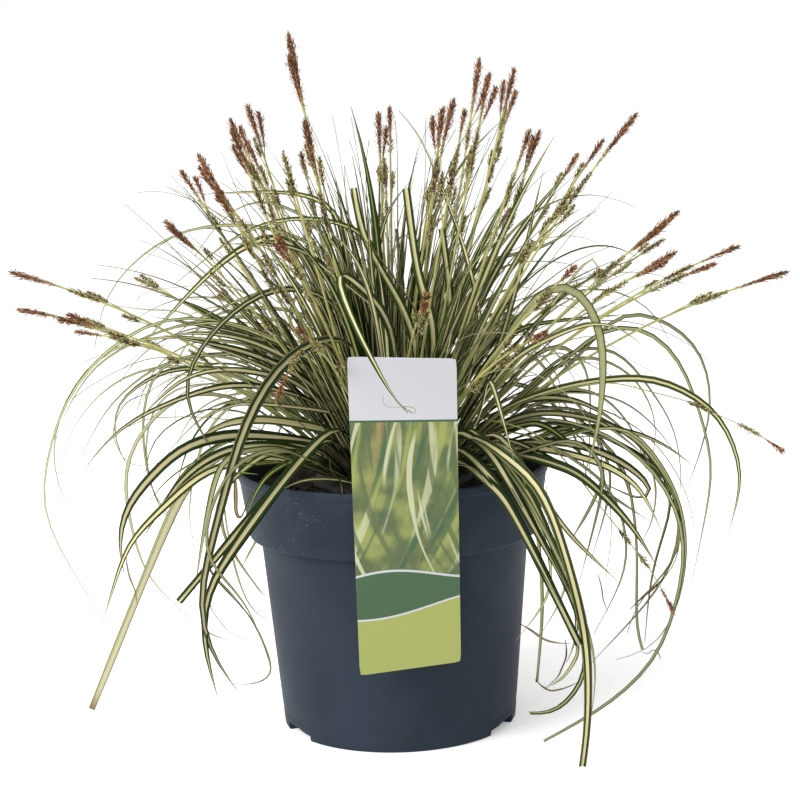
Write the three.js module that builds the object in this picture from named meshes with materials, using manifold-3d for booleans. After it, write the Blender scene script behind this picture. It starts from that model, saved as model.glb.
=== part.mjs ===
// A variegated sedge with flower stems, in a round plastic nursery pot with a hang-on card.
// Units are millimetres, +Z is up, and the origin is the centre of the pot's underside.
// The card hangs on the front of the rim, which faces -Y.

import * as THREE from 'three';
import { mergeVertices } from 'three/addons/utils/BufferGeometryUtils.js';
import Module from 'manifold-3d';

const wasm = await Module();
wasm.setup();
const { Manifold, Mesh: SolidMesh } = wasm;

// ---------------------------------------------------------------- driving dimensions

const GAP = 0.35; // air between neighbouring pieces

const POT = {
  height: 160,
  rimRadius: 95,
  lip: 2.6, // width of the rim's top edge
  bandHeight: 40, // the wide collar below the rim
  bandRadius: 89.2,
  shoulderRadius: 82.3, // body just below the collar
  baseRadius: 72,
  wall: 1.9,
  floor: 3,
  corner: 1.4,
  facets: 48,
};
const NOTCH = { count: 3, first: 60, width: 28, height: 5, inner: 66.5 };
const DRAIN = { count: 5, radius: 4.5, ring: 46, facets: 8 };

const SOIL = { edgeHeight: 147, innerHeight: 150.2, facets: 36 };
const CROWN = {
  radius: 49.6, // the packed leaf bases
  bottom: 131.4,
  edgeHeight: 151.5,
  topHeight: 160,
  facets: 24,
  rootRing: 46, // where the most spread strands leave it
  rootDepth: 9,
};

const CARD = {
  azimuth: 4.5, // turn away from the front, degrees
  thickness: 0.8,
  top: [-30.5, 239, 30.5, 235.5], // x and z of the two upper corners
  bottom: [-29.5, 56, 28.5, 61],
  cornerRadius: 1.5,
};
const TONGUE = { halfWidth: 7, thickness: 0.8, inside: 89.9, bottom: 148.4, root: 168 };

const STEM = { radius: 1.25, neck: 0.8, chords: 4, sides: 3, depth: 12, hole: 0.45, holeAbove: 16 };
const SPIKE = {
  malePitch: 5.6, // from one whorl of scales to the next
  femalePitch: 5.2,
  maleTip: 2.9, // how far the scales' tips stand out from the middle
  femaleTip: 2.6,
  core: 1.05,
  gap: 5, // bare stem between the green part and the brown one
  tipShare: 0.72, // where in a whorl the scales' tips are
};

const BLADE = {
  chords: [4, 7], // fewest and most in a placed leaf
  rootShare: 0.3, // width where it leaves the crown, as a share of the full width
  fullFrom: 0.35, // where along the blade it reaches its full width
  taperFrom: 0.35, // and where it starts to narrow
  taperPower: 1.3,
  bluntShare: 0.55, // width at a cut end
  rollBy: 0.4, // where along the blade it has rolled all the way
  keel: 0.21, // depth as a share of the width
  leastKeel: 0.75,
  reach: 218, // greatest distance from the pot's axis
  nearness: 0.6, // share of two half widths within which two blades count as crossing
};
const LEAST_FOOT = 4; // no strand comes nearer to the floor than this
const CLEARANCE = { skin: 0.2, spike: 3.1, holder: 1, rim: 6 };
const STEM_TRIES = { turnStep: 1, mostTurn: 10, bends: [0, 3, -3, 6] }; // degrees
const PLACED_TRIES = { turnStep: 1, mostTurn: 15 };
const LEAF_TRIES = { turnStep: 1.5, mostTurn: 24 };

// Flower stems: where the tip is [x, y, z], how far the stem bows out (degrees between its first
// direction and the straight line to the tip), length of the brown tip spike, and the number of
// green whorls below it.
const STEMS = [
  [-53, -10, 420, 5, 44, 4],
  [-44, -45, 369, 6, 36, 4],
  [-82, 30, 380, 5, 29, 0],
  [-96, 62, 372, 7, 26, 3],
  [-88, -22, 366, 6, 28, 4],
  [-88, 88, 358, 6, 25, 0],
  [-54, 98, 350, 6, 20, 3],
  [-104, -60, 352, 8, 34, 0],
  [-124, 22, 342, 8, 24, 2],
  [-92, -98, 336, 8, 20, 3],
  [-128, -34, 314, 9, 24, 0],
  [-57, -122, 308, 10, 22, 2],
  [-2, 40, 373, 4, 28, 2],
  [5, 75, 377, 5, 22, 0],
  [1, 118, 339, 8, 22, 2],
  [-55, -76, 352, 6, 0, 5],
  [-73, 130, 332, 8, 0, 4],
  [-223, -20, 286, 14, 30, 4],
  [-232, 38, 258, 15, 30, 4],
  [-188, -66, 262, 12, 22, 3],
  [-205, 85, 238, 16, 20, 4],
  [-168, 110, 270, 13, 0, 4],
  [60, 15, 403, 4, 34, 3],
  [62, -38, 390, 5, 24, 5],
  [84, 58, 398, 5, 32, 0],
  [87, 92, 385, 6, 24, 3],
  [43, -14, 379, 4, 34, 4],
  [35, -62, 374, 6, 24, 4],
  [54, 104, 374, 6, 20, 3],
  [83, -74, 360, 7, 22, 3],
  [97, 32, 359, 5, 27, 4],
  [116, 118, 343, 8, 25, 0],
  [140, 66, 352, 8, 25, 0],
  [151, -10, 367, 7, 38, 6],
  [104, -100, 328, 9, 0, 5],
  [40, -112, 348, 8, 0, 5],
  [32, 142, 326, 9, 0, 5],
  [86, 160, 306, 11, 22, 3],
  [172, -32, 310, 10, 36, 4],
  [218, 22, 285, 13, 26, 4],
  [240, -16, 271, 14, 32, 4],
  [213, 78, 270, 13, 30, 3],
  [163, -80, 290, 11, 28, 3],
  [186, 120, 284, 12, 0, 4],
  [150, 165, 260, 14, 20, 4],
  [104, -130, 288, 11, 18, 3],
  [33, -120, 275, 24, 20, 3],
  [97, -150, 256, 14, 24, 2],
  [-30, -160, 262, 14, 20, 3],
  [-118, 165, 252, 14, 22, 3],
  [-20, 178, 290, 12, 24, 2],
];

// Leaves that set the outline: width, roll of the blade about its length (degrees), and points
// along it after it leaves the crown [x, y, z]. A last value of 1 marks a leaf cut off blunt.
const LEAVES = [
  [2.6, -65, [[-54, -6, 231], [-98, -10, 252], [-136, -14, 256], [-173, -18, 235], [-186, -20, 220],
    [-198, -21, 203], [-212, -22, 154], [-211, -22, 136], [-180, -19, 72]]],
  [2.4, -65, [[-61, 2, 224], [-85, 3, 235], [-127, 4, 242], [-164, 6, 239], [-180, 6, 229],
    [-202, 7, 201], [-210, 7, 172], [-206, 7, 142], [-192, 7, 123]]],
  [2.6, -65, [[-54, 17, 242], [-78, 22, 249], [-102, 27, 251], [-144, 36, 242], [-181, 44, 225],
    [-193, 47, 214], [-212, 51, 184], [-217, 52, 169]]],
  [3, -65, [[-25, 4, 276], [-40, 6, 293], [-58, 8, 302], [-75, 11, 308], [-113, 16, 308], [-131, 18, 303],
    [-159, 22, 284], [-176, 25, 262], [-182, 26, 236]]],
  [5.8, -65, [[-32, 0, 243], [-49, -1, 289], [-56, -1, 301], [-68, -3, 303], [-81, -7, 299],
    [-106, -14, 281], [-147, -26, 240]]],
  [5, -65, [[-25, -11, 262], [-34, -15, 281], [-45, -20, 291], [-56, -26, 297], [-94, -40, 300]]],
  [4.2, -65, [[-4, 0, 285], [-12, 1, 300], [-24, 2, 308], [-57, 5, 312], [-88, 8, 303], [-130, 11, 273]]],
  [4.1, -65, [[-25, 11, 297], [-30, 14, 314], [-39, 18, 323], [-70, 31, 327], [-116, 48, 326]]],
  [4.1, -65, [[-23, -11, 244], [-31, -15, 262], [-41, -19, 269], [-51, -24, 272], [-66, -31, 273],
    [-79, -37, 268], [-101, -47, 251], [-116, -54, 230], [-120, -56, 218], [-118, -55, 207],
    [-100, -47, 170]]],
  [3.1, -65, [[-26, -1, 249], [-38, -2, 262], [-52, -3, 269], [-67, -4, 271], [-116, -6, 253],
    [-136, -7, 238]]],
  [5.8, -65, [[-33, -3, 210], [-51, -4, 229], [-86, -10, 247], [-104, -13, 252], [-129, -18, 249]]],
  [5.6, -65, [[-36, -1, 206], [-76, -7, 236], [-110, -17, 246], [-133, -24, 245]]],
  [5.6, -65, [[-39, -17, 204], [-77, -34, 233], [-130, -58, 250]]],
  [4.4, -65, [[-42, 0, 218], [-81, 0, 240], [-143, 0, 255]]],
  [4.6, -65, [[-41, -25, 203], [-87, -54, 236], [-110, -69, 245]]],
  [3.8, -65, [[-49, 2, 206], [-70, 1, 217], [-91, -2, 221], [-126, -7, 224], [-141, -9, 221],
    [-163, -12, 207], [-168, -12, 197], [-167, -12, 176], [-162, -11, 167]]],
  [3, -65, [[-55, 2, 218], [-78, 3, 227], [-100, 3, 231], [-137, 5, 226], [-150, 5, 219], [-174, 6, 199],
    [-192, 7, 169]]],
  [4.4, -65, [[-37, -19, 196], [-71, -34, 214], [-102, -45, 217], [-143, -57, 204], [-163, -64, 191],
    [-175, -68, 177]]],
  [4.4, -65, [[-45, -24, 209], [-62, -33, 219], [-94, -50, 228], [-120, -64, 224], [-143, -76, 204]]],
  [7.4, -65, [[-34, -17, 175], [-90, -41, 188], [-118, -53, 185], [-128, -57, 180], [-153, -67, 155],
    [-160, -70, 133], [-158, -69, 112]]],
  [7, -65, [[-28, -13, 179], [-44, -21, 187], [-76, -33, 195], [-102, -41, 193], [-120, -46, 179]]],
  [6, -65, [[-44, -30, 172], [-76, -51, 183], [-101, -68, 181], [-122, -82, 167], [-141, -95, 140]]],
  [5.4, -65, [[-48, -37, 165], [-63, -49, 174], [-78, -61, 177], [-102, -80, 175], [-113, -88, 170],
    [-142, -111, 146], [-149, -116, 136], [-161, -126, 101]]],
  [7.2, -65, [[-60, -35, 175], [-76, -44, 181], [-90, -52, 182], [-102, -59, 179], [-113, -65, 171],
    [-129, -74, 145], [-175, -101, 42]], 1],
  [6.8, -55, [[-3, -5, 200], [-12, -20, 226], [-22, -37, 240], [-33, -57, 247], [-55, -87, 241],
    [-72, -109, 223], [-84, -124, 199], [-98, -142, 153], [-108, -155, 115], [-102, -147, 85],
    [-90, -131, 59]]],
  [7, -40, [[-27, -40, 191], [-52, -77, 178], [-97, -143, 127], [-103, -152, 104], [-103, -153, 90],
    [-98, -146, 61]]],
  [7, -40, [[-33, -42, 184], [-53, -68, 176], [-116, -149, 116]], 1],
  [4.8, -65, [[-54, -48, 176], [-70, -63, 183], [-93, -83, 183], [-98, -88, 176], [-105, -95, 151],
    [-113, -102, 110]]],
  [2.4, -65, [[-76, -16, 221], [-104, -22, 233], [-124, -26, 234], [-136, -29, 229], [-143, -30, 219],
    [-148, -32, 194], [-146, -31, 161], [-142, -30, 145], [-119, -25, 121]]],
  [2.8, -65, [[-78, -17, 198], [-98, -24, 209], [-117, -32, 213], [-132, -38, 207], [-152, -45, 185],
    [-157, -47, 171], [-158, -47, 155], [-153, -45, 122], [-147, -43, 102], [-124, -35, 75]]],
  [3, -65, [[-66, -79, 182], [-79, -94, 185], [-88, -105, 181], [-94, -112, 172], [-95, -114, 158],
    [-94, -112, 141], [-75, -90, 101]]],
  [2.8, -65, [[-57, -91, 186], [-71, -113, 190], [-82, -131, 188], [-90, -145, 181], [-96, -154, 169],
    [-100, -160, 155], [-99, -159, 141], [-81, -130, 107], [-72, -116, 72]]],
  [4.4, -65, [[-43, -43, 170], [-54, -54, 174], [-65, -65, 172], [-75, -75, 165], [-84, -84, 148]]],
  [4.2, -65, [[-43, -27, 174], [-76, -47, 183], [-97, -60, 176]]],
  [4.4, -65, [[-44, -37, 171], [-58, -49, 178], [-73, -62, 179], [-84, -71, 173], [-94, -79, 165],
    [-100, -84, 155], [-102, -86, 141]]],
  [3.6, -65, [[-28, -22, 191], [-44, -35, 200], [-79, -55, 208], [-93, -62, 208], [-112, -70, 200]]],
  [3.5, -65, [[-43, -30, 168], [-108, -76, 174]]],
  [3, -65, [[-34, 27, 291], [-53, 41, 311], [-72, 52, 321], [-92, 64, 318], [-109, 75, 305],
    [-124, 83, 286]]],
  [3, -65, [[-42, 15, 242], [-63, 23, 254], [-82, 28, 256], [-102, 33, 254], [-118, 37, 246],
    [-138, 43, 216], [-144, 44, 200]]],
  [2.9, -65, [[-56, 15, 199], [-75, 24, 203], [-95, 34, 197], [-112, 42, 184], [-123, 47, 164],
    [-130, 50, 140], [-133, 51, 117], [-130, 50, 99]]],
  [4.6, 10, [[4, -58, 246], [-20, -105, 286], [-25, -117, 290], [-24, -126, 283], [-19, -133, 271],
    [-12, -139, 254], [-2, -141, 235], [4, -138, 220], [12, -134, 212]], 1],
  [7, 75, [[16, -20, 235], [-11, -38, 298], [-17, -45, 330]], 1],
  [4.2, 70, [[-10, -6, 244], [-8, -5, 268], [0, 0, 310], [15, 13, 330]]],
  [8, 80, [[28, -34, 236], [20, -44, 280], [15, -55, 329]], 1],
  [8.5, 85, [[10, 18, 240], [7, 24, 302]], 1],
  [7.8, 85, [[37, -5, 242], [34, -8, 303]], 1],
  [4.6, 70, [[54, -15, 234], [48, -4, 286], [42, 1, 307], [24, 15, 356], [11, 22, 373]]],
  [4.2, 70, [[66, 0, 228], [96, 0, 335]]],
  [4.3, 70, [[11, 10, 253], [26, 18, 296], [36, 22, 310], [45, 26, 317]]],
  [3.9, 70, [[42, 30, 250], [52, 36, 271], [65, 42, 280], [103, 54, 287], [137, 62, 310]]],
  [3.4, 70, [[85, -25, 240], [119, -39, 286], [123, -41, 288], [126, -43, 282], [118, -47, 262]]],
  [4.6, 70, [[-26, 1, 243], [-22, 3, 261], [-28, 9, 291], [-38, 18, 302], [-65, 38, 313]]],
  [4.4, -70, [[4, -14, 235], [-5, -18, 256], [-51, -25, 297], [-64, -31, 326]]],
  [4.7, 60, [[21, -36, 237], [7, -45, 273], [-18, -56, 309]]],
  [5, 65, [[48, -7, 177], [69, -10, 195], [111, -16, 208], [153, -21, 212], [173, -24, 205],
    [195, -27, 190], [207, -29, 163], [209, -29, 147], [201, -28, 117]]],
  [3.2, 65, [[106, 19, 209], [139, 25, 243], [152, 27, 247], [164, 29, 244], [189, 33, 228],
    [197, 35, 216], [203, 36, 186], [194, 34, 151], [184, 32, 127]]],
  [3.6, 65, [[100, 20, 210], [134, 23, 238], [148, 24, 239], [160, 25, 236], [182, 27, 214],
    [201, 28, 154], [201, 28, 136], [188, 27, 72]]],
  [3, 65, [[99, 47, 208], [112, 51, 219], [128, 57, 221], [143, 63, 219], [156, 68, 208], [181, 77, 172],
    [187, 79, 157], [191, 81, 128], [189, 80, 117]]],
  [3.2, 65, [[92, 49, 199], [106, 56, 210], [123, 65, 214], [138, 73, 211], [152, 81, 203],
    [164, 87, 192], [176, 94, 166], [175, 93, 149], [170, 90, 133]]],
  [5, 65, [[67, 2, 181], [88, 3, 188], [110, 4, 186], [144, 5, 175], [156, 5, 165], [176, 6, 135],
    [180, 6, 117], [183, 6, 99], [176, 6, 62]]],
  [3.6, 65, [[71, 15, 183], [93, 20, 190], [126, 27, 183], [157, 33, 162], [170, 36, 148], [179, 38, 131],
    [183, 39, 113], [182, 39, 93], [174, 37, 76], [162, 34, 59], [122, 26, 20]]],
  [3.8, 65, [[53, -15, 178], [78, -20, 189], [101, -25, 189], [124, -32, 182], [145, -38, 169],
    [159, -45, 153], [168, -52, 135], [171, -58, 115], [166, -65, 93], [150, -84, 58], [118, -106, 37],
    [80, -124, 23]], 1],
  [7.6, 65, [[65, -45, 234], [88, -54, 268], [98, -58, 274], [108, -61, 272], [115, -64, 263],
    [123, -66, 238], [120, -65, 191], [111, -62, 160]]],
  [4.1, 65, [[83, 42, 210], [96, 50, 221], [109, 57, 223], [121, 65, 217], [128, 68, 203], [130, 70, 185],
    [128, 68, 146], [129, 69, 131]]],
  [6, 65, [[59, -13, 170], [101, -22, 174], [122, -26, 169], [139, -30, 161], [153, -33, 149],
    [157, -34, 142], [153, -33, 138], [146, -32, 139], [124, -27, 150]]],
  [6.2, 65, [[62, -29, 170], [99, -46, 164], [114, -53, 156], [137, -64, 132], [152, -71, 107]]],
  [4.2, 45, [[62, -20, 177], [100, -32, 162], [150, -49, 130]]],
  [4.6, 40, [[58, -45, 186], [74, -58, 169], [99, -78, 132], [126, -98, 106]]],
  [3.9, 65, [[106, 28, 172], [125, 34, 170], [139, 37, 158], [149, 40, 140], [155, 42, 97], [154, 41, 36],
    [158, 42, 24]], 1],
  [4.2, 50, [[80, 11, 179], [105, 15, 179], [130, 18, 171], [168, 24, 147], [176, 25, 132],
    [175, 25, 120], [162, 23, 80], [157, 22, 36]]],
  [3.5, 65, [[99, -46, 179], [113, -53, 177], [121, -57, 169], [123, -57, 154], [109, -51, 96]]],
  [3.6, 65, [[116, 38, 174], [131, 42, 163], [138, 45, 148], [139, 45, 129], [125, 40, 84]]],
  [3.9, 40, [[60, -60, 183], [69, -69, 175], [76, -76, 162], [81, -81, 142], [84, -84, 93],
    [80, -80, 43]], 1],
  [3.2, 65, [[59, -66, 171], [73, -81, 157], [83, -92, 137], [88, -97, 120], [88, -98, 105],
    [83, -92, 91], [69, -77, 68]]],
  [3.1, 40, [[60, -66, 184], [86, -95, 151], [93, -104, 130], [97, -107, 113], [93, -104, 98],
    [82, -91, 75]]],
  [7.6, 50, [[41, -57, 188], [68, -93, 176], [79, -109, 168], [86, -119, 155], [96, -132, 120],
    [103, -141, 83], [103, -141, 39], [100, -137, 12]], 1],
  [6, 45, [[36, -51, 188], [48, -67, 184], [59, -81, 175], [95, -126, 109]]],
  [8.2, 12, [[35, -59, 181], [56, -93, 167], [66, -110, 153], [97, -162, 89]], 1],
  [7.4, 10, [[34, -61, 174], [56, -100, 164], [65, -118, 154], [88, -159, 110]]],
  [3.6, 35, [[51, -57, 180], [78, -87, 150], [102, -114, 98], [110, -122, 65], [107, -119, 34]]],
  [6, 25, [[42, -43, 190], [61, -64, 175], [77, -79, 157], [87, -90, 134], [101, -105, 98],
    [101, -105, 74], [96, -100, 61]]],
  [4.1, 55, [[59, -78, 172], [74, -98, 150], [97, -128, 105], [104, -138, 73], [100, -133, 57],
    [93, -124, 45], [86, -114, 35], [74, -99, 31]], 1],
  [4.4, 20, [[49, -45, 190], [56, -68, 220], [59, -78, 217], [68, -106, 179]]],
  [5.2, 65, [[60, -10, 177], [78, -12, 183], [93, -13, 183], [120, -16, 160]]],
  [5, 65, [[60, 3, 177], [79, 2, 186], [97, 2, 188], [116, 1, 185], [131, 0, 180], [157, 0, 158]]],
  [5.4, 65, [[68, -21, 170], [86, -26, 172], [118, -36, 165], [132, -40, 159], [146, -45, 148],
    [158, -48, 123]]],
  [5, 65, [[61, 14, 182], [80, 16, 193], [99, 20, 195], [118, 23, 191], [134, 25, 182], [149, 27, 169]]],
  [3.6, 65, [[84, 70, 186], [101, 85, 190], [118, 99, 184], [132, 111, 166], [141, 118, 142],
    [145, 122, 117], [144, 121, 99]]],
  [2.8, 40, [[68, -25, 183], [118, -43, 159], [132, -48, 141], [137, -50, 119], [135, -49, 97],
    [118, -43, 61]]],
  [3.4, 65, [[129, 11, 178], [154, 13, 164], [171, 15, 141], [180, 16, 115], [176, 15, 90], [150, 13, 62],
    [145, 13, 45]]],
  [3, 65, [[133, -7, 181], [157, -8, 165], [173, -9, 139], [179, -9, 108], [176, -9, 77], [168, -9, 54],
    [155, -8, 37], [136, -7, 33]]],
  [3.6, 65, [[71, 60, 221], [92, 76, 234], [162, 124, 234]]],
  [4.4, 65, [[54, -36, 203], [65, -42, 220], [79, -48, 233], [110, -62, 248], [124, -68, 250],
    [135, -73, 246], [143, -77, 238]]],
  [3, 65, [[95, 44, 189], [115, 54, 195], [135, 63, 189], [152, 71, 172], [162, 76, 153],
    [168, 78, 129]]],
  [3.1, 65, [[80, 67, 173], [101, 85, 171], [126, 106, 155], [141, 118, 132], [148, 124, 106],
    [149, 125, 78], [144, 121, 54]]],
];

// Leaves drawn by rule within a range of azimuths. Lean is the angle from upright at the crown, turn
// is how much further the blade has bent over at its tip, both in degrees. Bending grows along the
// blade by the power.
const LEAF_RULES = [
  { count: 44, chords: 4, azimuths: [0, 360], lean: [3, 34], length: [150, 225], turn: [8, 55],
    power: [1.3, 2.6], width: [3.4, 5.4] },
  { count: 20, chords: 5, azimuths: [35, 145], lean: [20, 58], length: [200, 300], turn: [85, 140],
    power: [1.1, 1.9], width: [3.4, 5] },
  { count: 16, chords: 4, azimuths: [5, 175], lean: [54, 80], length: [120, 210], turn: [55, 105],
    power: [0.8, 1.4], width: [3.6, 5.6] },
];
const AZIMUTH_JITTER = 8;
const SWEEP = [-28, 28]; // how far a leaf's heading swings round by its tip, degrees
const ROLL = [-75, 75];
const SEED = 20231;
const GOLDEN_SHARE = 0.618034; // of a rule's range of azimuths, from one leaf to the next

// ---------------------------------------------------------------- small helpers

const degrees = Math.PI / 180;
const mix = (a, b, t) => a + (b - a) * t;
const clamp = (x, low, high) => Math.min(high, Math.max(low, x));

let drawState = SEED;
function draw() {
  drawState = (drawState * 1664525 + 1013904223) % 4294967296;
  return drawState / 4294967296;
}
const drawIn = ([low, high]) => mix(low, high, draw());

// A three.js geometry as a solid that can be joined and cut.
function solidOf(geometry) {
  const bare = geometry.index ? geometry.toNonIndexed() : geometry.clone();
  bare.deleteAttribute('normal');
  bare.deleteAttribute('uv');
  const merged = mergeVertices(bare, 1e-4);
  const vertProperties = new Float32Array(merged.attributes.position.array);
  const triVerts = new Uint32Array(merged.index.array);
  return new Manifold(new SolidMesh({ numProp: 3, vertProperties, triVerts }));
}

// The largest piece of a solid, with any sealed pocket inside it filled.
function mainBody(solid) {
  const pieces = solid.decompose();
  return pieces.reduce((best, piece) => (piece.volume() > best.volume() ? piece : best));
}

function geometryOf(solid) {
  const mesh = solid.getMesh();
  const geometry = new THREE.BufferGeometry();
  geometry.setAttribute('position', new THREE.BufferAttribute(new Float32Array(mesh.vertProperties), 3));
  geometry.setIndex(Array.from(mesh.triVerts));
  const flat = geometry.toNonIndexed();
  flat.computeVertexNormals();
  return flat;
}

// A closed skin through rings of points. The first and last ring may be a single point.
// Each four-sided patch is split along the diagonal that bulges outward.
function loft(rings) {
  const corners = [];
  const triangle = (a, b, c) => corners.push(...a.toArray(), ...b.toArray(), ...c.toArray());
  const bulges = (a, b, c, d) => {
    const normal = b.clone().sub(a).cross(c.clone().sub(a));
    return normal.dot(d.clone().sub(a)) <= 0;
  };
  for (let k = 0; k + 1 < rings.length; k += 1) {
    const low = rings[k];
    const high = rings[k + 1];
    const count = Math.max(low.length, high.length);
    for (let j = 0; j < count; j += 1) {
      const next = (j + 1) % count;
      if (high.length === 1) {
        triangle(low[j], low[next], high[0]);
      } else if (low.length === 1) {
        triangle(low[0], high[next], high[j]);
      } else if (bulges(low[j], low[next], high[next], high[j])) {
        triangle(low[j], low[next], high[next]);
        triangle(low[j], high[next], high[j]);
      } else {
        triangle(low[j], low[next], high[j]);
        triangle(low[next], high[next], high[j]);
      }
    }
  }
  const first = rings[0];
  const last = rings[rings.length - 1];
  for (let j = 1; j + 1 < first.length; j += 1) triangle(first[0], first[j + 1], first[j]);
  for (let j = 1; j + 1 < last.length; j += 1) triangle(last[0], last[j], last[j + 1]);
  const geometry = new THREE.BufferGeometry();
  geometry.setAttribute('position', new THREE.Float32BufferAttribute(corners, 3));
  return geometry;
}

// A smooth curve through hand-placed points, as a fine polyline.
function smoothed(points) {
  const steps = 12;
  const at = (i) => points[clamp(i, 0, points.length - 1)];
  const fine = [];
  for (let i = 0; i + 1 < points.length; i += 1) {
    for (let k = 0; k < steps; k += 1) {
      const t = k / steps;
      const before = at(i - 1);
      const from = at(i);
      const to = at(i + 1);
      const after = at(i + 2);
      const place = (axis) => 0.5 * (2 * from[axis] + (to[axis] - before[axis]) * t
        + (2 * before[axis] - 5 * from[axis] + 4 * to[axis] - after[axis]) * t * t
        + (3 * from[axis] - before[axis] - 3 * to[axis] + after[axis]) * t * t * t);
      fine.push(new THREE.Vector3(place('x'), place('y'), place('z')));
    }
  }
  fine.push(points[points.length - 1].clone());
  return fine;
}

// The same polyline with a given number of equal chords.
function evenly(points, chords) {
  const along = [0];
  for (let i = 1; i < points.length; i += 1) along.push(along[i - 1] + points[i].distanceTo(points[i - 1]));
  const total = along[along.length - 1];
  const result = [];
  let i = 0;
  for (let k = 0; k <= chords; k += 1) {
    const target = (total * k) / chords;
    while (i + 2 < along.length && along[i + 1] < target) i += 1;
    const share = (target - along[i]) / (along[i + 1] - along[i]);
    result.push(points[i].clone().lerp(points[i + 1], clamp(share, 0, 1)));
  }
  return result;
}

// ---------------------------------------------------------------- keeping strands apart

// Straight stretches { from, to, radius } of the flower stems.
const stemCapsules = [];

// The least distance between two straight segments.
function segmentGap(a, b, c, d) {
  const u = b.clone().sub(a);
  const v = d.clone().sub(c);
  const w = a.clone().sub(c);
  const uu = u.dot(u);
  const uv = u.dot(v);
  const vv = v.dot(v);
  const uw = u.dot(w);
  const vw = v.dot(w);
  const parallel = uu * vv - uv * uv;
  let s = parallel > 1e-9 ? clamp((uv * vw - vv * uw) / parallel, 0, 1) : 0;
  const t = clamp((uv * s + vw) / vv, 0, 1);
  s = clamp((uv * t - uw) / uu, 0, 1);
  return a.clone().addScaledVector(u, s).distanceTo(c.clone().addScaledVector(v, t));
}

// Whether lines along a strand, with a thickness at each node, stay clear of these stretches.
function clearOf(capsules, lines, thickness) {
  return lines.every((line) => capsules.every(({ from, to, radius }) => {
    for (let i = 0; i + 1 < line.length; i += 1) {
      const reach = Math.max(thickness[i], thickness[i + 1]) + GAP + radius;
      if (segmentGap(line[i], line[i + 1], from, to) < reach) return false;
    }
    return true;
  }));
}

function addCapsules(capsules, line, thickness) {
  for (let i = 0; i + 1 < line.length; i += 1) {
    capsules.push({ from: line[i], to: line[i + 1], radius: Math.max(thickness[i], thickness[i + 1]) });
  }
}

// How many chords of other leaves a leaf's middle line comes too near to.
function countCrossings(nodes, leaf, others) {
  let count = 0;
  others.forEach((other) => {
    for (let i = 0; i + 1 < nodes.length; i += 1) {
      const half = bladeWidth((i + 0.5) / (nodes.length - 1), leaf.width, leaf.blunt) / 2;
      for (let k = 0; k + 1 < other.nodes.length; k += 1) {
        const otherHalf = bladeWidth((k + 0.5) / (other.nodes.length - 1), other.width, other.blunt) / 2;
        const reach = BLADE.nearness * (half + otherHalf);
        const gap = segmentGap(nodes[i], nodes[i + 1], other.nodes[k], other.nodes[k + 1]);
        if (gap < reach) count += 1;
      }
    }
  });
  return count;
}

const cardTurn = new THREE.Matrix4().makeRotationZ(-CARD.azimuth * degrees);

// Whether a strand stays clear of the pot, the soil, the card and the floor. Rise is how far it
// reaches above and below its middle line, and half is how far it reaches to the sides.
function clearOfHolder(nodes, half, rise) {
  const steps = 12;
  const margin = CLEARANCE.holder;
  const rimInner = POT.rimRadius - CLEARANCE.rim;
  const front = -(POT.rimRadius + GAP + CARD.thickness);
  for (let i = 0; i + 1 < nodes.length; i += 1) {
    for (let k = 0; k <= steps; k += 1) {
      const place = nodes[i].clone().lerp(nodes[i + 1], k / steps);
      const radius = Math.hypot(place.x, place.y);
      const low = place.z - rise;
      if (low < LEAST_FOOT) return false;
      const overSoil = radius > CROWN.radius - 2 && radius < rimInner;
      const overRim = radius >= rimInner && radius < POT.rimRadius + half + margin;
      if (overSoil && low < CROWN.edgeHeight + 0.6) return false;
      if (overRim && low < POT.height + 1.2) return false;
      const local = place.applyMatrix4(cardTurn);
      const inCard = Math.abs(local.x) < CARD.top[2] + half + margin
        && local.z > CARD.bottom[1] - half - margin
        && local.z < CARD.top[1] + half + margin
        && local.y > front - rise - margin
        && local.y < front + CARD.thickness + rise + margin;
      const inTongue = Math.abs(local.x) < TONGUE.halfWidth + half + margin
        && local.z < POT.height + 3 * margin + rise
        && local.y < -TONGUE.inside + 2 * margin + half
        && local.y > front - half;
      if (inCard || inTongue) return false;
    }
  }
  return true;
}

// Turns tried about the pot's axis until a strand is clear, in degrees.
function turnsToTry(step, most) {
  const turns = [0];
  for (let turn = step; turn <= most; turn += step) turns.push(turn, -turn);
  return turns;
}

const pole = new THREE.Vector3(0, 0, 1);
const turned = (points, turn) => points.map((p) => p.clone().applyAxisAngle(pole, turn * degrees));

// ---------------------------------------------------------------- pot, soil and card

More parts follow.
